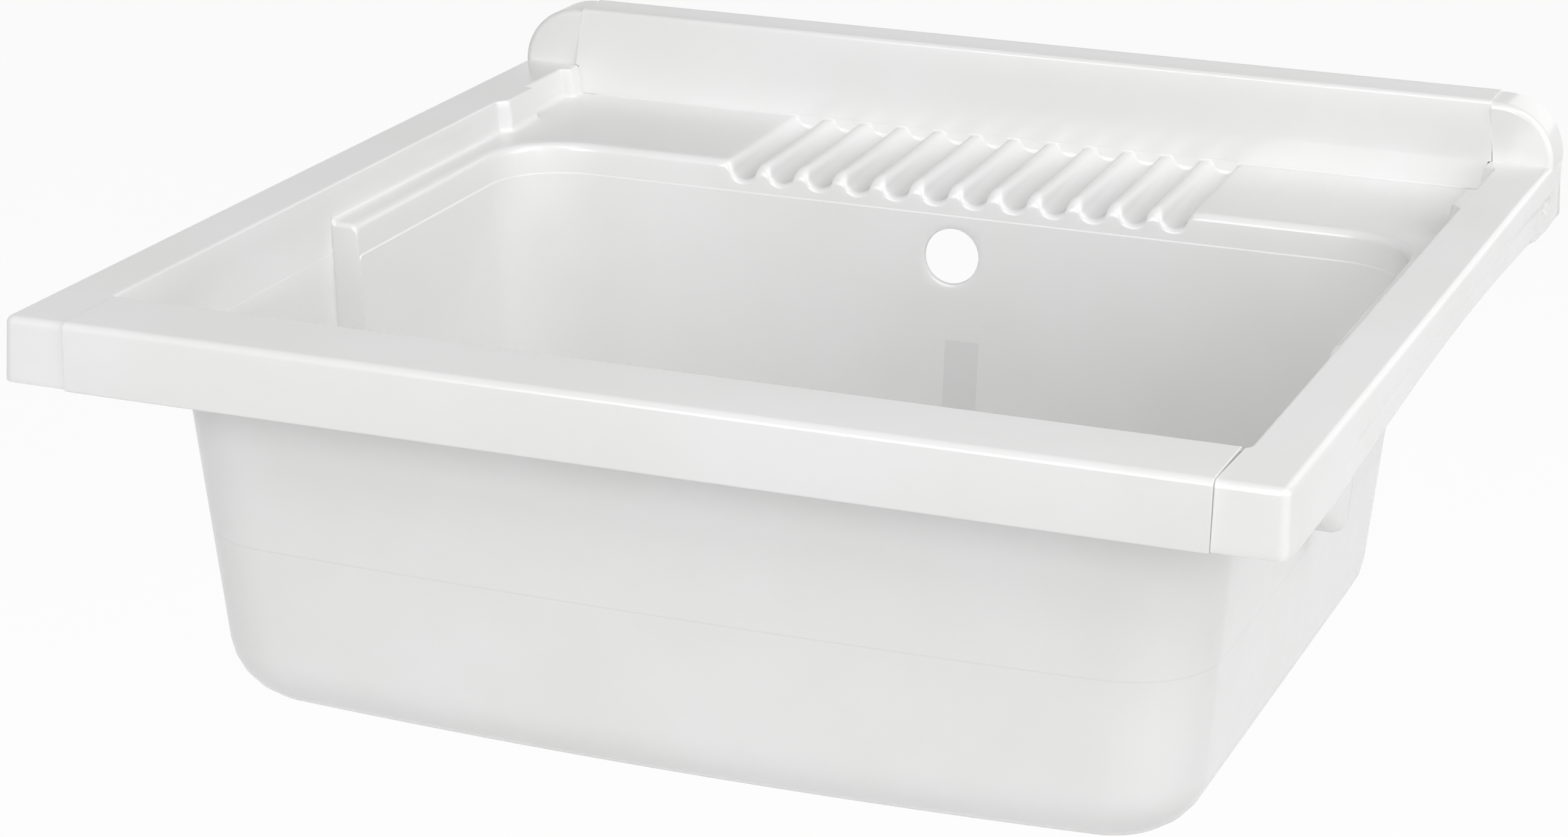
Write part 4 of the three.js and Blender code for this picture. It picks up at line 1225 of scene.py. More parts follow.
def tube(rows: list[np.ndarray], ring: bool, flip: bool = False) -> tuple[np.ndarray, list]:
    """A surface of closed loops, one after the other.

    Args:
        rows: the loops, each an array of points.
        ring: whether the last loop joins the first. Otherwise a face closes either end.
        flip: turns the faces round.

    Returns:
        Points and faces.
    """
    count, steps = len(rows), len(rows[0])
    faces = grid_faces(count, steps, flip=flip).tolist()
    if ring:
        close = grid_faces(2, steps, flip=flip)
        faces += np.where(close >= steps, close - steps, close + (count - 1) * steps).tolist()
        return np.concatenate(rows), faces
    first, last = list(range(steps)), list(range((count - 1) * steps, count * steps))
    faces += [first, last[::-1]] if flip else [first[::-1], last]
    return np.concatenate(rows), faces


def plate(outline: list, across_x: bool, at: float, thick: float) -> tuple[np.ndarray, list]:
    """A flat upright plate.

    Args:
        outline: corners as distance and height, anticlockwise seen from +x or from -y.
        across_x: whether the plate stands across x, with its outline in y and z, or else in x and z.
        at: its place along the axis that it stands across.
        thick: its thickness.

    Returns:
        Points and faces.
    """
    flat = np.array(outline, float)
    layers = []
    for offset in (-thick / 2.0, thick / 2.0):
        place = np.full(len(flat), at + offset)
        layers.append(np.stack([place, *flat.T] if across_x else [flat[:, 0], place, flat[:, 1]], axis=1))
    return tube(layers, ring=False, flip=not across_x)


def turned(
    profile: list,
    at: tuple[float, float],
    steps: int = 96,
    swell: Callable[[np.ndarray, float], np.ndarray] | None = None,
) -> tuple[np.ndarray, list]:
    """Turn a profile of radius and height about an upright axis.

    Args:
        profile: the line to turn, anticlockwise with the radius to the right. It closes on itself, or at
            the axis if its first point lies there.
        at: the axis in x and y.
        steps: points round the axis.
        swell: an added radius, as a function of the angles and the profile's radius.

    Returns:
        Points and faces.
    """
    angles = np.linspace(0.0, 2.0 * np.pi, steps, endpoint=False)
    on_axis = profile[0][0] == 0.0
    rows = []
    for radius, height in profile[1:-1] if on_axis else profile:
        reach = radius + (swell(angles, radius) if swell else 0.0)
        x, y = at[0] + reach * np.cos(angles), at[1] + reach * np.sin(angles)
        rows.append(np.column_stack([x, y, np.full(steps, height)]))
    return tube(rows, ring=not on_axis)


def along_x(profile: list, half: Callable[[float], float], bevel: float) -> tuple[np.ndarray, list]:
    """Carry a closed profile of y and z along x.

    Args:
        profile: points of y and z in millimetres, anticlockwise seen from +x.
        half: half the length at a height.
        bevel: room left for the eased end edges.

    Returns:
        Points and faces.
    """
    outline = np.array(profile, float)
    ends = np.array([half(height) for height in outline[:, 1]])
    stations = [-ends, -ends + 2.0 * bevel, ends - 2.0 * bevel, ends]
    return tube([np.column_stack([x, outline]) for x in stations], ring=False)


@dataclass
class Ribs:
    """Upright plates below the rim and the deck, which tie the skirts to the bowl."""

    thick: float = 2.5
    edge: float = 0.4
    sag: float = 1.0
    rear_xs: tuple[float, ...] = (-205.0, -150.0, 150.0, 205.0)
    side_ys: tuple[float, ...] = (-480.0, -400.0, -260.0, -180.0)
    front_xs: tuple[float, ...] = (-140.0, 0.0, 140.0)

    def build(self) -> bpy.types.Object:
        """Make all the plates as one piece: each lower edge hangs in half a sine.

        Returns:
            The ribs.
        """
        share = np.linspace(0.0, 1.0, 9)
        sag = self.sag * np.sin(np.pi * share)
        plates = []
        for x in self.rear_xs:
            low = list(zip(-129.5 + 127.0 * share, -26.0 - sag))
            plates.append(plate([*low, (-2.5, -19.2), (-120.0, -20.5), (-129.5, -22.0)], True, x, self.thick))
        for y in self.side_ys:
            low = list(zip(270.0 + 25.5 * share, -20.0 - sag))
            right = [*low, (295.5, -2.2), (270.5, -2.2)]
            plates.append(plate(right, False, y, self.thick))
            plates.append(plate([(-x, h) for x, h in right][::-1], False, y, self.thick))
        for x in self.front_xs:
            low = list(zip(-592.8 + 44.0 * share, -23.0 - sag))
            plates.append(plate([*low, (-548.8, -5.0), (-592.8, -5.0)], True, x, self.thick))
        made = finish_mesh("stiffening_ribs", *joined(plates), 35.0)
        ease_edges(made, self.edge)
        return made


@dataclass
class Covers:
    """The two covers that clip over the front rail and the splash, with their screw bosses."""

    front_half: float = 266.9
    splash_half: float = 264.0
    splash_foot_half: float = 266.1
    splash_top_half: float = 263.1
    splash_top: float = 32.8
    lean: float = 2.3
    ease: float = 0.25
    screw_xs: tuple[float, ...] = (-210.0, -70.0, 70.0, 210.0)

    def front(self) -> bpy.types.Object:
        """The front cover: a channel with a round front edge and a short lip below.

        Returns:
            The cover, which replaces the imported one.
        """
        profile = [(-553.0, -2.0), (-553.0, 0.0)]
        profile += arc_points((-554.0, 0.0), 1.0, 0.0, 90.0, 4)[1:]
        profile += arc_points((-596.4, -2.6), 3.6, 90.0, 180.0, 10)
        profile += arc_points((-599.0, -30.5), 1.0, 180.0, 270.0, 4)
        profile += arc_points((-594.0, -30.5), 1.0, 270.0, 360.0, 4)
        profile += [(-593.0, -29.0), (-593.6, -28.6), (-597.0, -28.3), (-597.0, -4.0)]
        profile += arc_points((-595.0, -4.0), 2.0, 180.0, 90.0, 4)[1:]
        shell = along_x(profile, lambda height: self.front_half, self.ease)
        made = finish_mesh("front_cover_shell", *shell)
        ease_edges(made, self.ease)
        return made

    def splash(self) -> bpy.types.Object:
        """The splash cover: a channel turned down, whose front leans back and whose ends taper.

        Returns:
            The cover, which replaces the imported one.
        """
        top, lean = self.splash_top, self.lean

        def half(height: float) -> float:
            """Half the length at a height: straight below the rim, and tapered above it."""
            taper = (self.splash_foot_half - self.splash_top_half) * height / top
            return self.splash_half if height < 0.1 else self.splash_foot_half - taper

        profile = [(-30.0, -15.95), (-27.0, -15.95), (-27.0, -0.2), (-27.0, 0.3), (-27.0 + lean, top - 3.0)]
        profile += [(-3.0, top - 3.0), (-3.0, top - 9.0), (0.0, top - 9.0)]
        profile += arc_points((-1.2, top - 1.2), 1.2, 0.0, 90.0, 4)
        profile += arc_points((lean - 27.5, top - 2.5), 2.5, 90.0, 176.0, 8)
        profile += [(-30.0, 0.3), (-30.0, -0.2)]
        made = finish_mesh("splash_cover_shell", *along_x(profile, half, self.ease))
        ease_edges(made, self.ease)
        return made

    def bosses(self) -> list[bpy.types.Object]:
        """Hollow screw bosses below the front cover, and the same lying down inside the splash cover.

        Returns:
            The front cover's bosses and the splash cover's.
        """
        section = [(1.9, -7.8), (3.6, -7.8), (4.0, -7.4), (4.2, -1.6), (1.9, -1.6)]
        points, faces = joined([turned(section, (x, -576.0), 32) for x in self.screw_xs])
        lying = np.column_stack([points[:, 0], -26.7 - points[:, 2], points[:, 1] + 588.0])
        return [
            finish_mesh("front_cover_bosses", points, faces, 35.0),
            finish_mesh("splash_cover_bosses", lying, faces, 35.0),
        ]


@dataclass
class SplashEnds:
    """The quarter-round ends of the splash, moulded with the rim."""

    inner_foot: float = 266.17
    inner_top: float = 263.25
    outer: float = 298.5
    radius: float = 31.8
    front: float = -28.6
    round: float = 3.8

    def outline(self, inset: float) -> np.ndarray:
        """The end's outline: a tapered side, a flat top and a quarter circle.

        Args:
            inset: how far the top and the quarter circle are moved in.

        Returns:
            An array of x and z.
        """
        r = self.radius - inset
        centre = self.outer - self.radius
        points = [(self.inner_foot, -2.0), (self.inner_foot, 0.0), (self.inner_top, r)]
        points += arc_points((centre, 0.0), r, 90.0, 0.0, 24)
        points += [(centre + r, -2.0)]
        return np.array(points)

    def build(self, side: int) -> bpy.types.Object:
        """Make one end.

        Args:
            side: 1 for the right and -1 for the left.

        Returns:
            The end.
        """
        r = self.round
        turn = np.radians(np.linspace(90.0, 0.0, 9))
        rings = [(self.front + r * (1.0 - math.sin(t)), r * (1.0 - math.cos(t))) for t in turn]
        layers = []
        for y, inset in [*rings, (-0.5, 0.0), (0.0, 0.5)]:
            outline = self.outline(inset)
            layers.append(np.column_stack([side * outline[:, 0], np.full(len(outline), y), outline[:, 1]]))
        name = "splash_end_right" if side > 0 else "splash_end_left"
        return finish_mesh(name, *tube(layers, ring=False, flip=side < 0), 35.0)


@dataclass
class Waste:
    """The fitting below the floor, and the rubber plug with its pull ring."""

    drain: tuple[float, float] = (0.0, -270.0)
    body_top: float = -217.6
    tube: float = 23.9
    tube_end: float = -257.6
    thread_pitch: float = 2.5
    thread_depth: float = 0.35
    thread_length: float = 20.0
    nut_low: float = -266.2
    nut_high: float = -247.6
    grip_count: int = 8
    grip_height: float = 2.1
    grip_half_angle: float = 0.078
    tail_top: float = -260.2
    tail_length: float = 34.0
    plug_top: float = -205.6
    plug_foot: float = -218.3
    eye_height: float = 5.0
    ring_radius: float = 8.0
    ring_wire: float = 1.0
    ring_tilt: float = 99.0

    def body(self) -> bpy.types.Object:
        """Flange, funnel and threaded outlet, and the cross that holds the centre screw.

        The thread is drawn as rings: its radius is a sine of the height.

        Returns:
            The body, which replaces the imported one.
        """
        top, low = self.body_top, self.tube_end
        shell = [(31.0, top), (29.0, top - 9.0), (20.5, top - 17.0), (20.5, low), (23.2, low)]
        turns = np.arange(0.0, self.thread_length, self.thread_pitch / 10.0)
        wave = self.thread_depth * np.sin(2.0 * np.pi * turns / self.thread_pitch)
        shell += list(zip(self.tube - self.thread_depth + wave, low + 0.8 + turns))
        shell += [(self.tube, top - 18.0), (26.0, top - 16.0), (32.0, top - 9.0), (33.0, top - 5.0)]
        shell += [(39.2, top - 4.0), (40.0, top - 3.2), (40.0, top - 0.6), (39.4, top)]
        high = top - 6.6
        hub = [(3.4, high), (3.4, high - 10.0), (5.6, high - 10.0), (6.0, high - 9.6), (6.0, high - 0.5)]
        hub += [(5.5, high)]
        parts = [turned(shell, self.drain), turned(hub, self.drain, 48)]
        arm = [(4.8, high - 7.0), (24.6, high - 7.0), (29.3, high - 2.4), (29.8, high), (4.8, high)]
        mirrored = [(-reach, height) for reach, height in arm][::-1]
        for outline in (arm, mirrored):
            parts.append(plate([(self.drain[0] + r, h) for r, h in outline], False, self.drain[1], 2.6))
            parts.append(plate([(self.drain[1] + r, h) for r, h in outline], True, self.drain[0], 2.6))
        return finish_mesh("waste_body_shell", *joined(parts), 35.0)

    def nut(self) -> bpy.types.Object:
        """The union nut, with eight rounded grips: each swells out by half an ellipse.

        Returns:
            The nut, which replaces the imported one.
        """
        low, high = self.nut_low, self.nut_high
        profile = [(20.4, low), (27.6, low), (28.6, low + 0.7), (29.0, low + 1.8), (29.0, high - 1.4)]
        profile += [(28.5, high - 0.4), (27.8, high), (24.3, high), (24.3, low + 3.2), (20.4, low + 1.2)]

        def grips(angle: np.ndarray, radius: float) -> np.ndarray:
            """The swell on the nut's outside.

            Args:
                angle: directions about the axis.
                radius: the nut's radius there.

            Returns:
                The swell at each angle, and 0 on the nut's inside.
            """
            pitch = 2.0 * np.pi / self.grip_count
            off = np.mod(angle + pitch / 2.0, pitch) - pitch / 2.0
            swell = np.sqrt(np.clip(1.0 - (off / self.grip_half_angle) ** 2, 0.0, 1.0))
            return self.grip_height * swell * (radius > 28.8)

        return finish_mesh("outlet_nut_ring", *turned(profile, self.drain, 240, grips), 35.0)

    def tail(self) -> bpy.types.Object:
        """The tailpiece: a straight tube below a collar.

        Returns:
            The tailpiece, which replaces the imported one.
        """
        top, low = self.tail_top, self.tail_top - self.tail_length
        profile = [(18.0, top), (18.0, low), (19.6, low), (20.0, low + 0.4), (20.0, top - 3.0)]
        profile += [(23.5, top - 2.0), (23.5, top - 0.3), (23.2, top)]
        return finish_mesh("tailpiece_tube", *turned(profile, self.drain), 35.0)

    def plug(self) -> bpy.types.Object:
        """The tapered stopper with three fine sealing beads, and the lug that holds the ring.

        The beads are a cosine along the flank. The lug's outline is worked out about its eye.

        Returns:
            The plug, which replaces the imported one.
        """
        top, low = self.plug_top, self.plug_foot
        share = np.linspace(1.0, 0.0, 33)
        bead = 0.125 * (1.0 - np.cos(6.0 * np.pi * share))
        flank = list(zip(23.3 - 2.1 * share - bead, top - 2.2 - (top - 2.2 - low) * share))
        profile = [(0.0, low + 3.4), (16.4, low + 3.4), (17.0, low + 2.9), (17.0, low + 0.3), (17.4, low)]
        profile += [(20.8, low), *flank[1:], (23.1, top - 1.2), (22.5, top - 0.6), (21.0, top - 0.15)]
        profile += [(19.5, top), (12.0, top), (10.5, top - 0.5), (8.2, top - 0.5), (7.2, top), (0.0, top)]
        angle = np.linspace(0.0, 2.0 * np.pi, 48, endpoint=False)
        cos, sin = np.cos(angle), np.sin(angle)
        # seen from the eye's middle, the lug ends at its round top, at a slanting side or at its foot
        slant = 3.5 / np.maximum(0.927 * np.abs(cos) + 0.375 * sin, 0.01)
        reach = np.where(sin > -0.19, 4.2, np.minimum(slant, 5.5 / np.maximum(-sin, 0.001)))
        rows = [(2.2, 1.1), (2.7, 1.5), (reach - 0.5, 1.5), (reach, 1.1)]
        rows += [(radius, -y) for radius, y in rows[::-1]]
        eye = top + self.eye_height
        loops = []
        for radius, y in rows:
            across = np.full(len(angle), self.drain[1] + y)
            loops.append(np.column_stack([self.drain[0] + radius * cos, across, eye + radius * sin]))
        lug = tube(loops, ring=True, flip=True)
        return finish_mesh("plug_stopper", *joined([turned(profile, self.drain), lug]), 35.0)

    def ring(self) -> bpy.types.Object:
        """The pull ring: a wire bent to a circle, which leans over on the plug.

        Returns:
            The ring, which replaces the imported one.
        """
        tilt, radius, wire = math.radians(self.ring_tilt), self.ring_radius, self.ring_wire
        out = np.array([math.sin(tilt), 0.0, math.cos(tilt)])
        across = np.array([0.0, 1.0, 0.0])
        middle = np.array([self.drain[0], self.drain[1], self.plug_top + self.eye_height]) + radius * out
        normal = np.cross(across, out)
        angle = np.linspace(0.0, 2.0 * np.pi, 20, endpoint=False)[:, None]
        rows = []
        for a in np.linspace(0.0, 2.0 * np.pi, 96, endpoint=False):
            away = math.cos(a) * across + math.sin(a) * out
            rows.append(middle + away * (radius + wire * np.cos(angle)) + normal * wire * np.sin(angle))
        return finish_mesh("pull_ring_wire", *tube(rows, ring=True, flip=True), 60.0)


# ---- finishes -------------------------------------------------------------------------------------------


def add_node(tree: bpy.types.NodeTree, kind: str, inputs: dict | None = None, **settings) -> bpy.types.Node:
    """Add a node, set its options, and give its inputs values or links.

    Args:
        tree: the node tree.
        kind: the node's type.
        inputs: values or output sockets, by the input's name or number.
        settings: the node's own options.

    Returns:
        The node.
    """
    made = tree.nodes.new(kind)
    for name, value in settings.items():
        setattr(made, name, value)
    for name, value in (inputs or {}).items():
        if isinstance(value, bpy.types.NodeSocket):
            tree.links.new(value, made.inputs[name])
        else:
            made.inputs[name].default_value = value
    return made


def per_mm(length: float) -> float:
    """Scale of a pattern whose grain is the given number of millimetres, in a scene measured in metres."""
    return 1.0 / (length * MM)


@dataclass(frozen=True)
class Finish:
    """A surface: its colour, its gloss and how it varies over the piece.

    tone is the colour that the base drifts to in broad patches. patch, grain and relief are the size of
    those patches, of the fine relief and of its height, in mm.
    """

    name: str
    base: str
    tone: str
    roughness: float
    roughness_drift: float = 0.06
    metallic: float = 0.0
    patch: float = 90.0
    grain: float = 4.0
    relief: float = 0.006

    def start(self) -> tuple[bpy.types.Material, bpy.types.NodeTree, bpy.types.Node]:
        """Start a material.

        Returns:
            The material, its empty tree and the node with the piece's own coordinates.
        """
        material = bpy.data.materials.new(self.name)
        material.use_nodes = True
        tree = material.node_tree
        tree.nodes.clear()
        return material, tree, add_node(tree, "ShaderNodeTexCoord")

    def drift(self, tree: bpy.types.NodeTree, place: bpy.types.NodeSocket) -> tuple:
        """Broad patches for colour and finer ones for gloss.

        Args:
            tree: the node tree.
            place: the piece's own coordinates.

        Returns:
            The colour and the roughness, as sockets.
        """
        patches = add_node(
            tree,
            "ShaderNodeTexNoise",
            {"Vector": place, "Scale": per_mm(self.patch), "Detail": 2.0},
        )
        share = add_node(
            tree,
            "ShaderNodeMapRange",
            {"Value": patches.outputs["Fac"], "From Min": 0.35, "From Max": 0.65},
        )
        colour = add_node(
            tree,
            "ShaderNodeMix",
            {0: share.outputs["Result"], 6: linear(self.base), 7: linear(self.tone)},
            data_type="RGBA",
        )
        scuffs = add_node(
            tree,
            "ShaderNodeTexNoise",
            {"Vector": place, "Scale": per_mm(self.patch / 6.0), "Detail": 3.0},
        )
        gloss = add_node(
            tree,
            "ShaderNodeMapRange",
            {
                "Value": scuffs.outputs["Fac"],
                "From Min": 0.3,
                "From Max": 0.7,
                "To Min": self.roughness - self.roughness_drift / 2.0,
                "To Max": self.roughness + self.roughness_drift / 2.0,
            },
        )
        return colour.outputs[2], gloss.outputs["Result"]

    def fine_relief(self, tree: bpy.types.NodeTree, place: bpy.types.NodeSocket) -> bpy.types.Node:
        """The surface's fine unevenness as a bump.

        Args:
            tree: the node tree.
            place: the piece's own coordinates.

        Returns:
            The bump node.
        """
        grain = add_node(
            tree,
            "ShaderNodeTexNoise",
            {"Vector": place, "Scale": per_mm(self.grain), "Detail": 2.0},
        )
        return add_node(
            tree,
            "ShaderNodeBump",
            {"Height": grain.outputs["Fac"], "Strength": 1.0, "Distance": self.relief * MM},
        )

    def close(
        self,
        tree: bpy.types.NodeTree,
        colour: bpy.types.NodeSocket,
        roughness: bpy.types.NodeSocket,
        normal: bpy.types.NodeSocket,
    ) -> None:
        """Join colour, gloss and relief in the surface shader.

        Args:
            tree: the node tree.
            colour: the base colour.
            roughness: the roughness.
            normal: the normal with its relief.
        """
        inputs = {"Base Color": colour, "Roughness": roughness, "Normal": normal, "Metallic": self.metallic}
        shader = add_node(tree, "ShaderNodeBsdfPrincipled", inputs)
        add_node(tree, "ShaderNodeOutputMaterial", {"Surface": shader.outputs["BSDF"]})

    def make(self) -> bpy.types.Material:
        """Build the material.

        Returns:
            The material.
        """
        material, tree, place = self.start()
        colour, roughness = self.drift(tree, place.outputs["Object"])
        relief = self.fine_relief(tree, place.outputs["Object"])
        self.close(tree, colour, roughness, relief.outputs["Normal"])
        return material


@dataclass(frozen=True)
class MouldedPlastic(Finish):
    """Plastic from a polished mould: soft gloss, a slight swim in the reflections and a few dark specks.

    The specks are drawn larger than the real ones, so that they show. speck_share is the share of cells,
    each as wide as the spacing, whose middle holds one.
    """

    speck_spacing: float = 46.0
    speck: float = 0.24
    speck_share: float = 0.18
    speck_colour: str = "A9A7A2"

    def specks(
        self,
        tree: bpy.types.NodeTree,
        place: bpy.types.NodeSocket,
        colour: bpy.types.NodeSocket,
    ) -> bpy.types.NodeSocket:
        """Sparse specks: a dot at the middle of some cells.

        Args:
            tree: the node tree.
            place: the piece's own coordinates.
            colour: the colour so far.

        Returns:
            The colour with the specks.
        """
        cells = add_node(tree, "ShaderNodeTexVoronoi", {"Vector": place, "Scale": per_mm(self.speck_spacing)})
        size = self.speck / self.speck_spacing
        dot = add_node(
            tree,
            "ShaderNodeMapRange",
            {"Value": cells.outputs["Distance"], "From Min": size, "From Max": size * 0.4},
        )
        chosen = add_node(tree, "ShaderNodeSeparateColor", {"Color": cells.outputs["Color"]})
        least = 1.0 - self.speck_share
        some = add_node(tree, "ShaderNodeMath", {0: chosen.outputs[0], 1: least}, operation="GREATER_THAN")
        share = add_node(
            tree,
            "ShaderNodeMath",
            {0: dot.outputs["Result"], 1: some.outputs[0]},
            operation="MULTIPLY",
        )
        mixed = add_node(
            tree,
            "ShaderNodeMix",
            {0: share.outputs[0], 6: colour, 7: linear(self.speck_colour)},
            data_type="RGBA",
        )
        return mixed.outputs[2]

    def make(self) -> bpy.types.Material:
        """Build the material.

        Returns:
            The material.
        """
        material, tree, place = self.start()
        where = place.outputs["Object"]
        colour, roughness = self.drift(tree, where)
        colour = self.specks(tree, where, colour)
        relief = self.fine_relief(tree, where)
        self.close(tree, colour, roughness, relief.outputs["Normal"])
        return material


@dataclass(frozen=True)
class TubPlastic(MouldedPlastic):
    """The tub's plastic, with the marks of its mould.

    A faint parting line runs round the outside, and the lower face is a little rougher. On the bowl's back
    wall, painted shade darkens an upright strip below the overflow hole. Sizes and places are in mm.
    """

    # grey of the parting line, also used for the painted shade on the back wall
    mark_and_shade_colour: str = "B9BABC"
    parting_level: float = -120.0
    parting_half: float = 0.55
    parting_depth: float = 0.16
    parting_height: float = 0.015
    underside_rougher: float = 0.06
    # painted shade: an upright strip of the back wall, darkened below the overflow hole
    shade_strip_sides: tuple[float, float] = (-1.0, 18.0)
    shade_strip_top: float = -102.0
    shade_strip_front: float = -155.0
    shade_strip_share: float = 0.22

    def make(self) -> bpy.types.Material:
        """Build the material.

        Returns:
            The material.
        """
        material, tree, place = self.start()
        where = place.outputs["Object"]
        colour, roughness = self.drift(tree, where)
        colour = self.specks(tree, where, colour)
        axes = add_node(tree, "ShaderNodeSeparateXYZ", {"Vector": where})
        below = add_node(tree, "ShaderNodeAttribute", attribute_name="underside")
        level = add_node(
            tree,
            "ShaderNodeMath",
            {0: axes.outputs["Z"], 1: self.parting_level * MM},
            operation="SUBTRACT",
        )
        away = add_node(tree, "ShaderNodeMath", {0: level.outputs[0]}, operation="ABSOLUTE")
        line = add_node(
            tree,
            "ShaderNodeMapRange",
            {"Value": away.outputs[0], "From Min": self.parting_half * MM, "From Max": 0.15 * MM},
            interpolation_type="SMOOTHSTEP",
        )
        outside = add_node(
            tree,
            "ShaderNodeMath",
            {0: line.outputs["Result"], 1: below.outputs["Fac"]},
            operation="MULTIPLY",
        )
        depth = self.parting_depth
        faint = add_node(tree, "ShaderNodeMath", {0: outside.outputs[0], 1: depth}, operation="MULTIPLY")
        lined = add_node(
            tree,
            "ShaderNodeMix",
            {0: faint.outputs[0], 6: colour, 7: linear(self.mark_and_shade_colour)},
            data_type="RGBA",
        )
        # painted shade on the back wall's strip below the overflow hole
        lined = self.paint_shade_strip(tree, axes, below.outputs["Fac"], lined.outputs[2])
        matt = add_node(
            tree,
            "ShaderNodeMath",
            {0: below.outputs["Fac"], 1: self.underside_rougher, 2: roughness},
            operation="MULTIPLY_ADD",
        )
        fine = self.fine_relief(tree, where)
        ridge = add_node(
            tree,
            "ShaderNodeBump",
            {
                "Height": outside.outputs[0],
                "Strength": 1.0,
                "Distance": self.parting_height * MM,
                "Normal": fine.outputs["Normal"],
            },
        )
        self.close(tree, lined, matt.outputs[0], ridge.outputs["Normal"])
        return material

    def paint_shade_strip(
        self,
        tree: bpy.types.NodeTree,
        axes: bpy.types.Node,
        below: bpy.types.NodeSocket,
        colour: bpy.types.NodeSocket,
    ) -> bpy.types.NodeSocket:
        """Paint shade on an upright strip of the bowl's back wall, below the overflow hole.

        Args:
            tree: the node tree.
            axes: the place, split in x, y and z.
            below: 1 on the tub's lower surface.
            colour: the colour so far.

        Returns:
            The colour with the painted shade on the strip.
        """
        left, right = self.shade_strip_sides
        middle, half = (left + right) / 2.0 * MM, (right - left) / 2.0 * MM
        tests = [
            ("X", "COMPARE", {1: middle, 2: half}),
            ("Y", "GREATER_THAN", {1: self.shade_strip_front * MM}),
            ("Z", "LESS_THAN", {1: self.shade_strip_top * MM}),
        ]
        # painted shade: the grey's share, kept to the inner face and to the strip's bounds
        share = add_node(tree, "ShaderNodeMath", {0: self.shade_strip_share, 1: below}, operation="SUBTRACT")
        for axis, test, limits in tests:
            passed = add_node(tree, "ShaderNodeMath", {0: axes.outputs[axis], **limits}, operation=test)
            both = {0: share.outputs[0], 1: passed.outputs[0]}
            share = add_node(tree, "ShaderNodeMath", both, operation="MULTIPLY")
        held = add_node(tree, "ShaderNodeMath", {0: share.outputs[0], 1: 0.0}, operation="MAXIMUM")
        mixed = add_node(
            tree,
            "ShaderNodeMix",
            {0: held.outputs[0], 6: colour, 7: linear(self.mark_and_shade_colour)},
            data_type="RGBA",
        )
        return mixed.outputs[2]


@dataclass(frozen=True)
class SpunSteel(Finish):
    """Stainless steel pressed and polished on a lathe.

    Fine rings about the drain's axis break up the gloss. They are drawn coarser than the real ones, so
    that they show. ring is their width in mm.
    """

    ring: float = 0.35
    axis: tuple[float, float] = (0.0, -270.0)

    def make(self) -> bpy.types.Material:
        """Build the material.

        Returns:
            The material.
        """
        material, tree, place = self.start()
        where = place.outputs["Object"]
        colour, roughness = self.drift(tree, where)
        centred = add_node(
            tree,
            "ShaderNodeVectorMath",
            {0: where, 1: (self.axis[0] * MM, self.axis[1] * MM, 0.0)},
            operation="SUBTRACT",
        )
        flat = add_node(
            tree,
            "ShaderNodeVectorMath",
            {0: centred.outputs[0], 1: (1.0, 1.0, 0.0)},
            operation="MULTIPLY",
        )
        radius = add_node(tree, "ShaderNodeVectorMath", {0: flat.outputs[0]}, operation="LENGTH")
        rings = add_node(
            tree,
            "ShaderNodeTexNoise",
            {"W": radius.outputs["Value"], "Scale": per_mm(self.ring), "Detail": 2.0},
            noise_dimensions="1D",
        )
        brushed = add_node(
            tree,
            "ShaderNodeBump",
            {"Height": rings.outputs["Fac"], "Strength": 1.0, "Distance": self.relief * MM},
        )
        self.close(tree, colour, roughness, brushed.outputs["Normal"])
        return material


# White polypropylene from a polished mould: even and neutral, with broad soft reflections.
WHITE_TUB = TubPlastic("white_moulded_polypropylene", "E7E7E7", "E4E4E3", 0.17, 0.02, relief=0.002)
# The front cover and the bosses: the same plastic from another mould, a touch less polished.
WHITE_COVER = MouldedPlastic("white_cover_plastic", "E6E6E6", "E3E3E2", 0.18, 0.02, relief=0.002)
# Pale grey plastic from a plain mould: its fine grain makes it nearly matt.
GREY_FITTING = MouldedPlastic("waste_fitting_plastic", "D6D7D4", "CBCDCB", 0.42, grain=1.5, relief=0.01)
# Stainless steel: a clear but softly ringed reflection.
STEEL = SpunSteel(
    name="spun_stainless_steel",
    base="C9CCCD",
    tone="BFC3C5",
    roughness=0.24,
    roughness_drift=0.1,
    metallic=1.0,
    patch=30.0,
    relief=0.002,
)
# Zinc-plated steel: a duller metal, clouded in small patches.
SCREW_STEEL = Finish(
    name="plated_screw_steel",
    base="BDBFC0",
    tone="A9ABAE",
    roughness=0.34,
    roughness_drift=0.16,
    metallic=1.0,
    patch=6.0,
    grain=0.5,
    relief=0.004,
)
# Moulded rubber: dark and matt, with a fine grain.
RUBBER = Finish(
    name="black_moulded_rubber",
    base="2B2C2E",
    tone="36373A",
    roughness=0.62,
    roughness_drift=0.14,
    patch=14.0,
    grain=0.7,
    relief=0.02,
)


# ---- stage ----------------------------------------------------------------------------------------------


@dataclass(frozen=True)
class Lamp:
    """A soft square lamp, in metres and watts."""

    name: str
    at: tuple[float, float, float]
    power: float
    size: float = 1.6
    aim: tuple[float, float, float] = (0.0, -0.3, -0.1)

    def place(self) -> None:
        """Add the lamp to the scene."""
        data = bpy.data.lights.new(self.name, "AREA")
        data.shape = "SQUARE"
        data.size = self.size
        data.energy = self.power
        made = bpy.data.objects.new(self.name, data)
        made.location = self.at
        made.rotation_euler = (Vector(self.aim) - Vector(self.at)).to_track_quat("-Z", "Y").to_euler()
        bpy.context.scene.collection.objects.link(made)


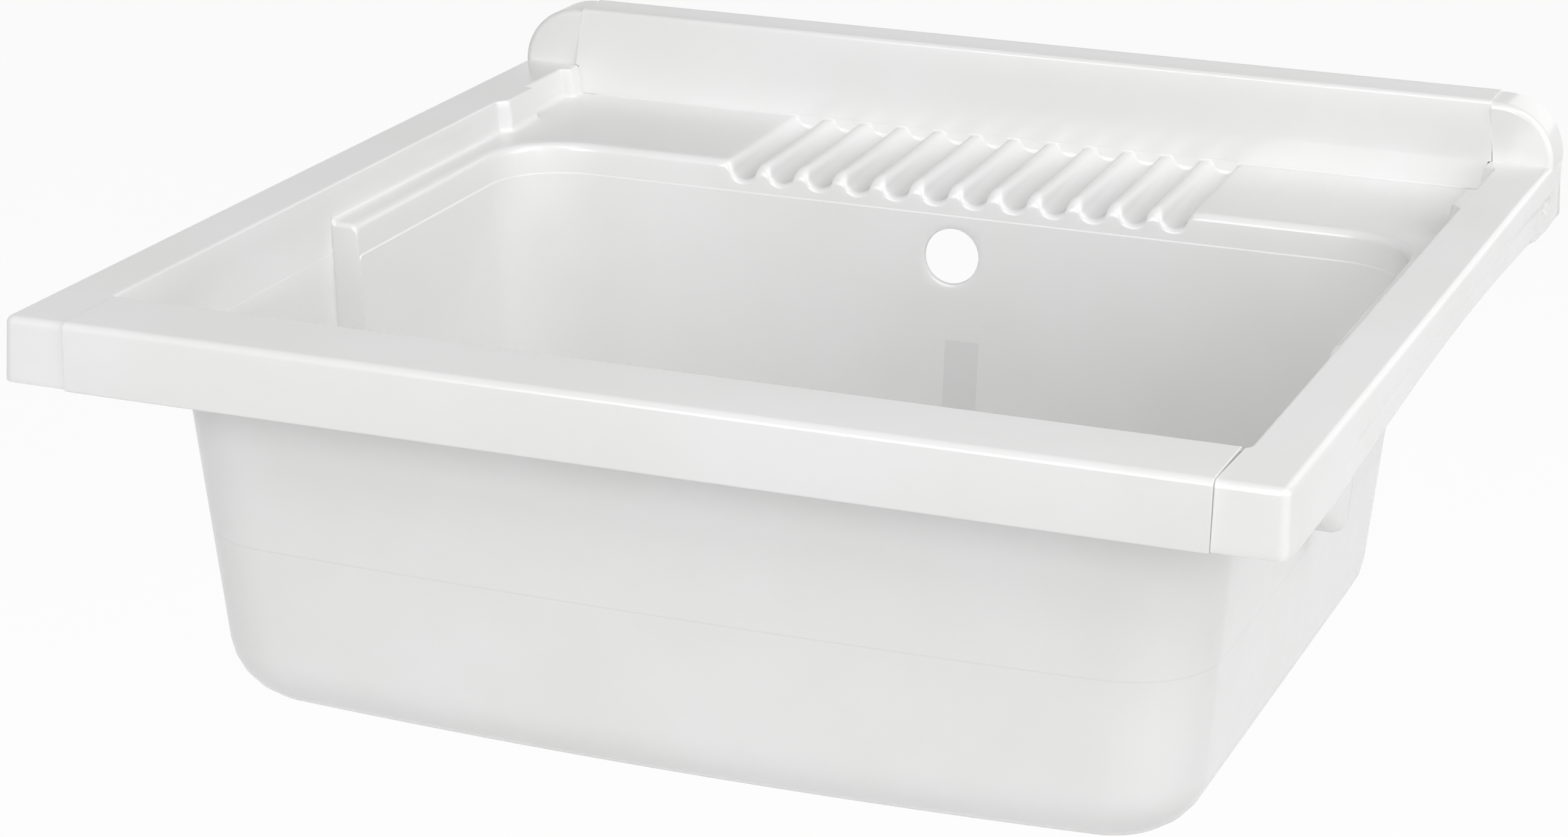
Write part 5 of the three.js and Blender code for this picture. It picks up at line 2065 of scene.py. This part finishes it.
@dataclass
class Studio:
    """Floor, light and camera. The camera's place is in mm, and the floor's sizes are in metres."""

    camera_at: tuple[float, float, float] = (641.4, -2086.76, 522.22)
    yaw: float = 20.65
    pitch: float = 18.12
    roll: float = 1.04
    lens: float = 91.35
    sensor: float = 36.0
    air: float = 0.08
    floor_half: float = 6.0
    floor_level: float = -0.9
    floor_colour: str = "F0F0F0"
    floor_seen: float = 1.045
    floor_share: float = 0.9
    lamps: tuple[Lamp, ...] = (
        Lamp("front_lamp", (-0.5, -3.4, 0.9), 44.0),
        Lamp("front_left_lamp", (-2.4, -2.4, 1.0), 4.0),
        Lamp("front_right_lamp", (2.6, -2.4, 1.0), 17.0),
        Lamp("right_lamp", (2.8, -0.3, 1.0), 28.0),
        Lamp("high_right_lamp", (1.9, -0.6, 2.2), 29.0),
        Lamp("high_front_lamp", (0.3, -2.4, 2.4), 26.0),
        Lamp("left_lamp", (-2.8, -0.3, 1.0), 2.0),
        Lamp("rear_lamp", (0.8, 3.0, 1.0), 6.0),
    )

    def camera(self) -> None:
        """Place the camera at the photograph's viewing angle: turned, then pitched, then rolled."""
        data = bpy.data.cameras.new("camera")
        data.lens = self.lens
        data.sensor_width = self.sensor
        data.clip_end = 50.0
        made = bpy.data.objects.new("camera", data)
        bpy.context.scene.collection.objects.link(made)
        yaw, pitch, roll = (math.radians(v) for v in (self.yaw, self.pitch, self.roll))
        ahead = Vector((-math.sin(yaw) * math.cos(pitch), math.cos(yaw) * math.cos(pitch), -math.sin(pitch)))
        level = Vector((math.cos(yaw), math.sin(yaw), 0.0))
        upright = level.cross(ahead)
        right = math.cos(roll) * level + math.sin(roll) * upright
        up = -math.sin(roll) * level + math.cos(roll) * upright
        turn = Matrix((right, up, -ahead)).transposed()
        made.matrix_world = Matrix.Translation(Vector(self.camera_at) * MM) @ turn.to_4x4()
        bpy.context.scene.camera = made

    @staticmethod
    def seen_directly(tree: bpy.types.NodeTree) -> bpy.types.NodeSocket:
        """Tell what the camera sees from what lights the object.

        Args:
            tree: the node tree.

        Returns:
            1 for what is seen straight, in a reflection or through glass, and 0 for diffuse light.
        """
        path = add_node(tree, "ShaderNodeLightPath").outputs
        either = {0: path["Is Camera Ray"], 1: path["Is Glossy Ray"]}
        seen = add_node(tree, "ShaderNodeMath", either, operation="MAXIMUM")
        any_way = {0: seen.outputs[0], 1: path["Is Transmission Ray"]}
        return add_node(tree, "ShaderNodeMath", any_way, operation="MAXIMUM").outputs[0]

    def light(self) -> None:
        """Even light from all round, which the camera and reflections see as plain white, and the lamps."""
        world = bpy.data.worlds.new("studio_air")
        bpy.context.scene.world = world
        world.use_nodes = True
        tree = world.node_tree
        tree.nodes.clear()
        white = linear("FFFFFF")
        ambient = add_node(tree, "ShaderNodeBackground", {"Color": white, "Strength": self.air})
        seen = add_node(tree, "ShaderNodeBackground", {"Color": white, "Strength": 1.0})
        mix = add_node(
            tree,
            "ShaderNodeMixShader",
            {0: self.seen_directly(tree), 1: ambient.outputs[0], 2: seen.outputs[0]},
        )
        add_node(tree, "ShaderNodeOutputWorld", {"Surface": mix.outputs[0]})
        for lamp in self.lamps:
            lamp.place()

    def floor(self) -> None:
        """A plain pale floor, nearly a metre below the rim, which keeps its shadow."""
        far = self.floor_half
        mesh = bpy.data.meshes.new("floor")
        corners = [(x, y, self.floor_level) for x, y in ((-far, -far), (far, -far), (far, far), (-far, far))]
        mesh.from_pydata(corners, [], [(0, 1, 2, 3)])
        made = bpy.data.objects.new("floor", mesh)
        bpy.context.scene.collection.objects.link(made)
        material = bpy.data.materials.new("pale_floor")
        material.use_nodes = True
        tree = material.node_tree
        tree.nodes.clear()
        matt = add_node(tree, "ShaderNodeBsdfDiffuse", {"Color": linear(self.floor_colour)})
        glow = add_node(tree, "ShaderNodeEmission", {"Color": linear("FFFFFF"), "Strength": self.floor_seen})
        seen = {0: self.seen_directly(tree), 1: self.floor_share}
        share = add_node(tree, "ShaderNodeMath", seen, operation="MULTIPLY")
        mix = add_node(
            tree,
            "ShaderNodeMixShader",
            {0: share.outputs[0], 1: matt.outputs[0], 2: glow.outputs[0]},
        )
        add_node(tree, "ShaderNodeOutputMaterial", {"Surface": mix.outputs[0]})
        mesh.materials.append(material)


# ---- the whole sink -------------------------------------------------------------------------------------


@dataclass
class Sink:
    """The sink's pieces: shapes that replace the model's nodes, and nodes that are dressed as they are."""

    white: bpy.types.Material = field(default_factory=WHITE_TUB.make)
    cover: bpy.types.Material = field(default_factory=WHITE_COVER.make)
    fitting: bpy.types.Material = field(default_factory=GREY_FITTING.make)
    steel: bpy.types.Material = field(default_factory=STEEL.make)
    screw: bpy.types.Material = field(default_factory=SCREW_STEEL.make)
    rubber: bpy.types.Material = field(default_factory=RUBBER.make)
    weld: float = 0.01
    eased: float = 0.25

    def dress(self, piece: bpy.types.Object, material: bpy.types.Material, body: Body, *nodes: str) -> None:
        """Give a piece its material and body.

        Args:
            piece: the piece.
            material: its material.
            body: the rigid body that carries it.
            nodes: the model's nodes that it replaces.
        """
        piece.data.materials.append(material)
        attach(piece, body.value)
        if nodes:
            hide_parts(*nodes)
        LOG.info("%s: %d faces", piece.name, len(piece.data.polygons))

    def moulding(self) -> None:
        """The tub with the ends of its splash and its ribs, and the two covers."""
        self.dress(Tub().build(), self.white, Body.SINK, "tub")
        for side in (1, -1):
            self.dress(SplashEnds().build(side), self.white, Body.SINK)
        self.dress(Ribs().build(), self.white, Body.SINK)
        covers = Covers()
        self.dress(covers.front(), self.cover, Body.SINK, "front_cover")
        self.dress(covers.splash(), self.white, Body.SINK, "splash_cover")
        for boss in covers.bosses():
            self.dress(boss, self.cover, Body.SINK)

    def waste(self) -> None:
        """The waste fitting, the plug and its ring."""
        waste = Waste()
        self.dress(waste.body(), self.fitting, Body.SINK, "waste_body")
        self.dress(waste.nut(), self.fitting, Body.SINK, "outlet_nut")
        self.dress(waste.tail(), self.fitting, Body.SINK, "tailpiece")
        self.dress(waste.plug(), self.rubber, Body.STOPPER, "plug")
        self.dress(waste.ring(), self.screw, Body.STOPPER, "pull_ring")

    def carried_over(self) -> None:
        """Dress the model's own gaskets, screws and strainer."""
        for name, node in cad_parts.items():
            if "screw" in name:
                material = self.screw
            elif "gasket" in name or "washer" in name:
                material = self.rubber
            elif name == "strainer_dish":
                material = self.steel
            else:
                continue
            node.data.materials.clear()
            node.data.materials.append(material)
            weld = node.modifiers.new("weld", "WELD")
            weld.merge_threshold = self.weld * MM
            ease_edges(node, self.eased, 40.0)


def main() -> None:
    """Build the stage and then the sink's pieces in order."""
    logging.basicConfig(level=logging.INFO, format="%(name)s: %(message)s")
    bpy.context.scene.view_settings.view_transform = "Standard"
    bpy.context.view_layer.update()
    studio = Studio()
    studio.camera()
    studio.light()
    studio.floor()
    sink = Sink()
    sink.moulding()
    sink.waste()
    sink.carried_over()


if __name__ == "__main__":
    main()
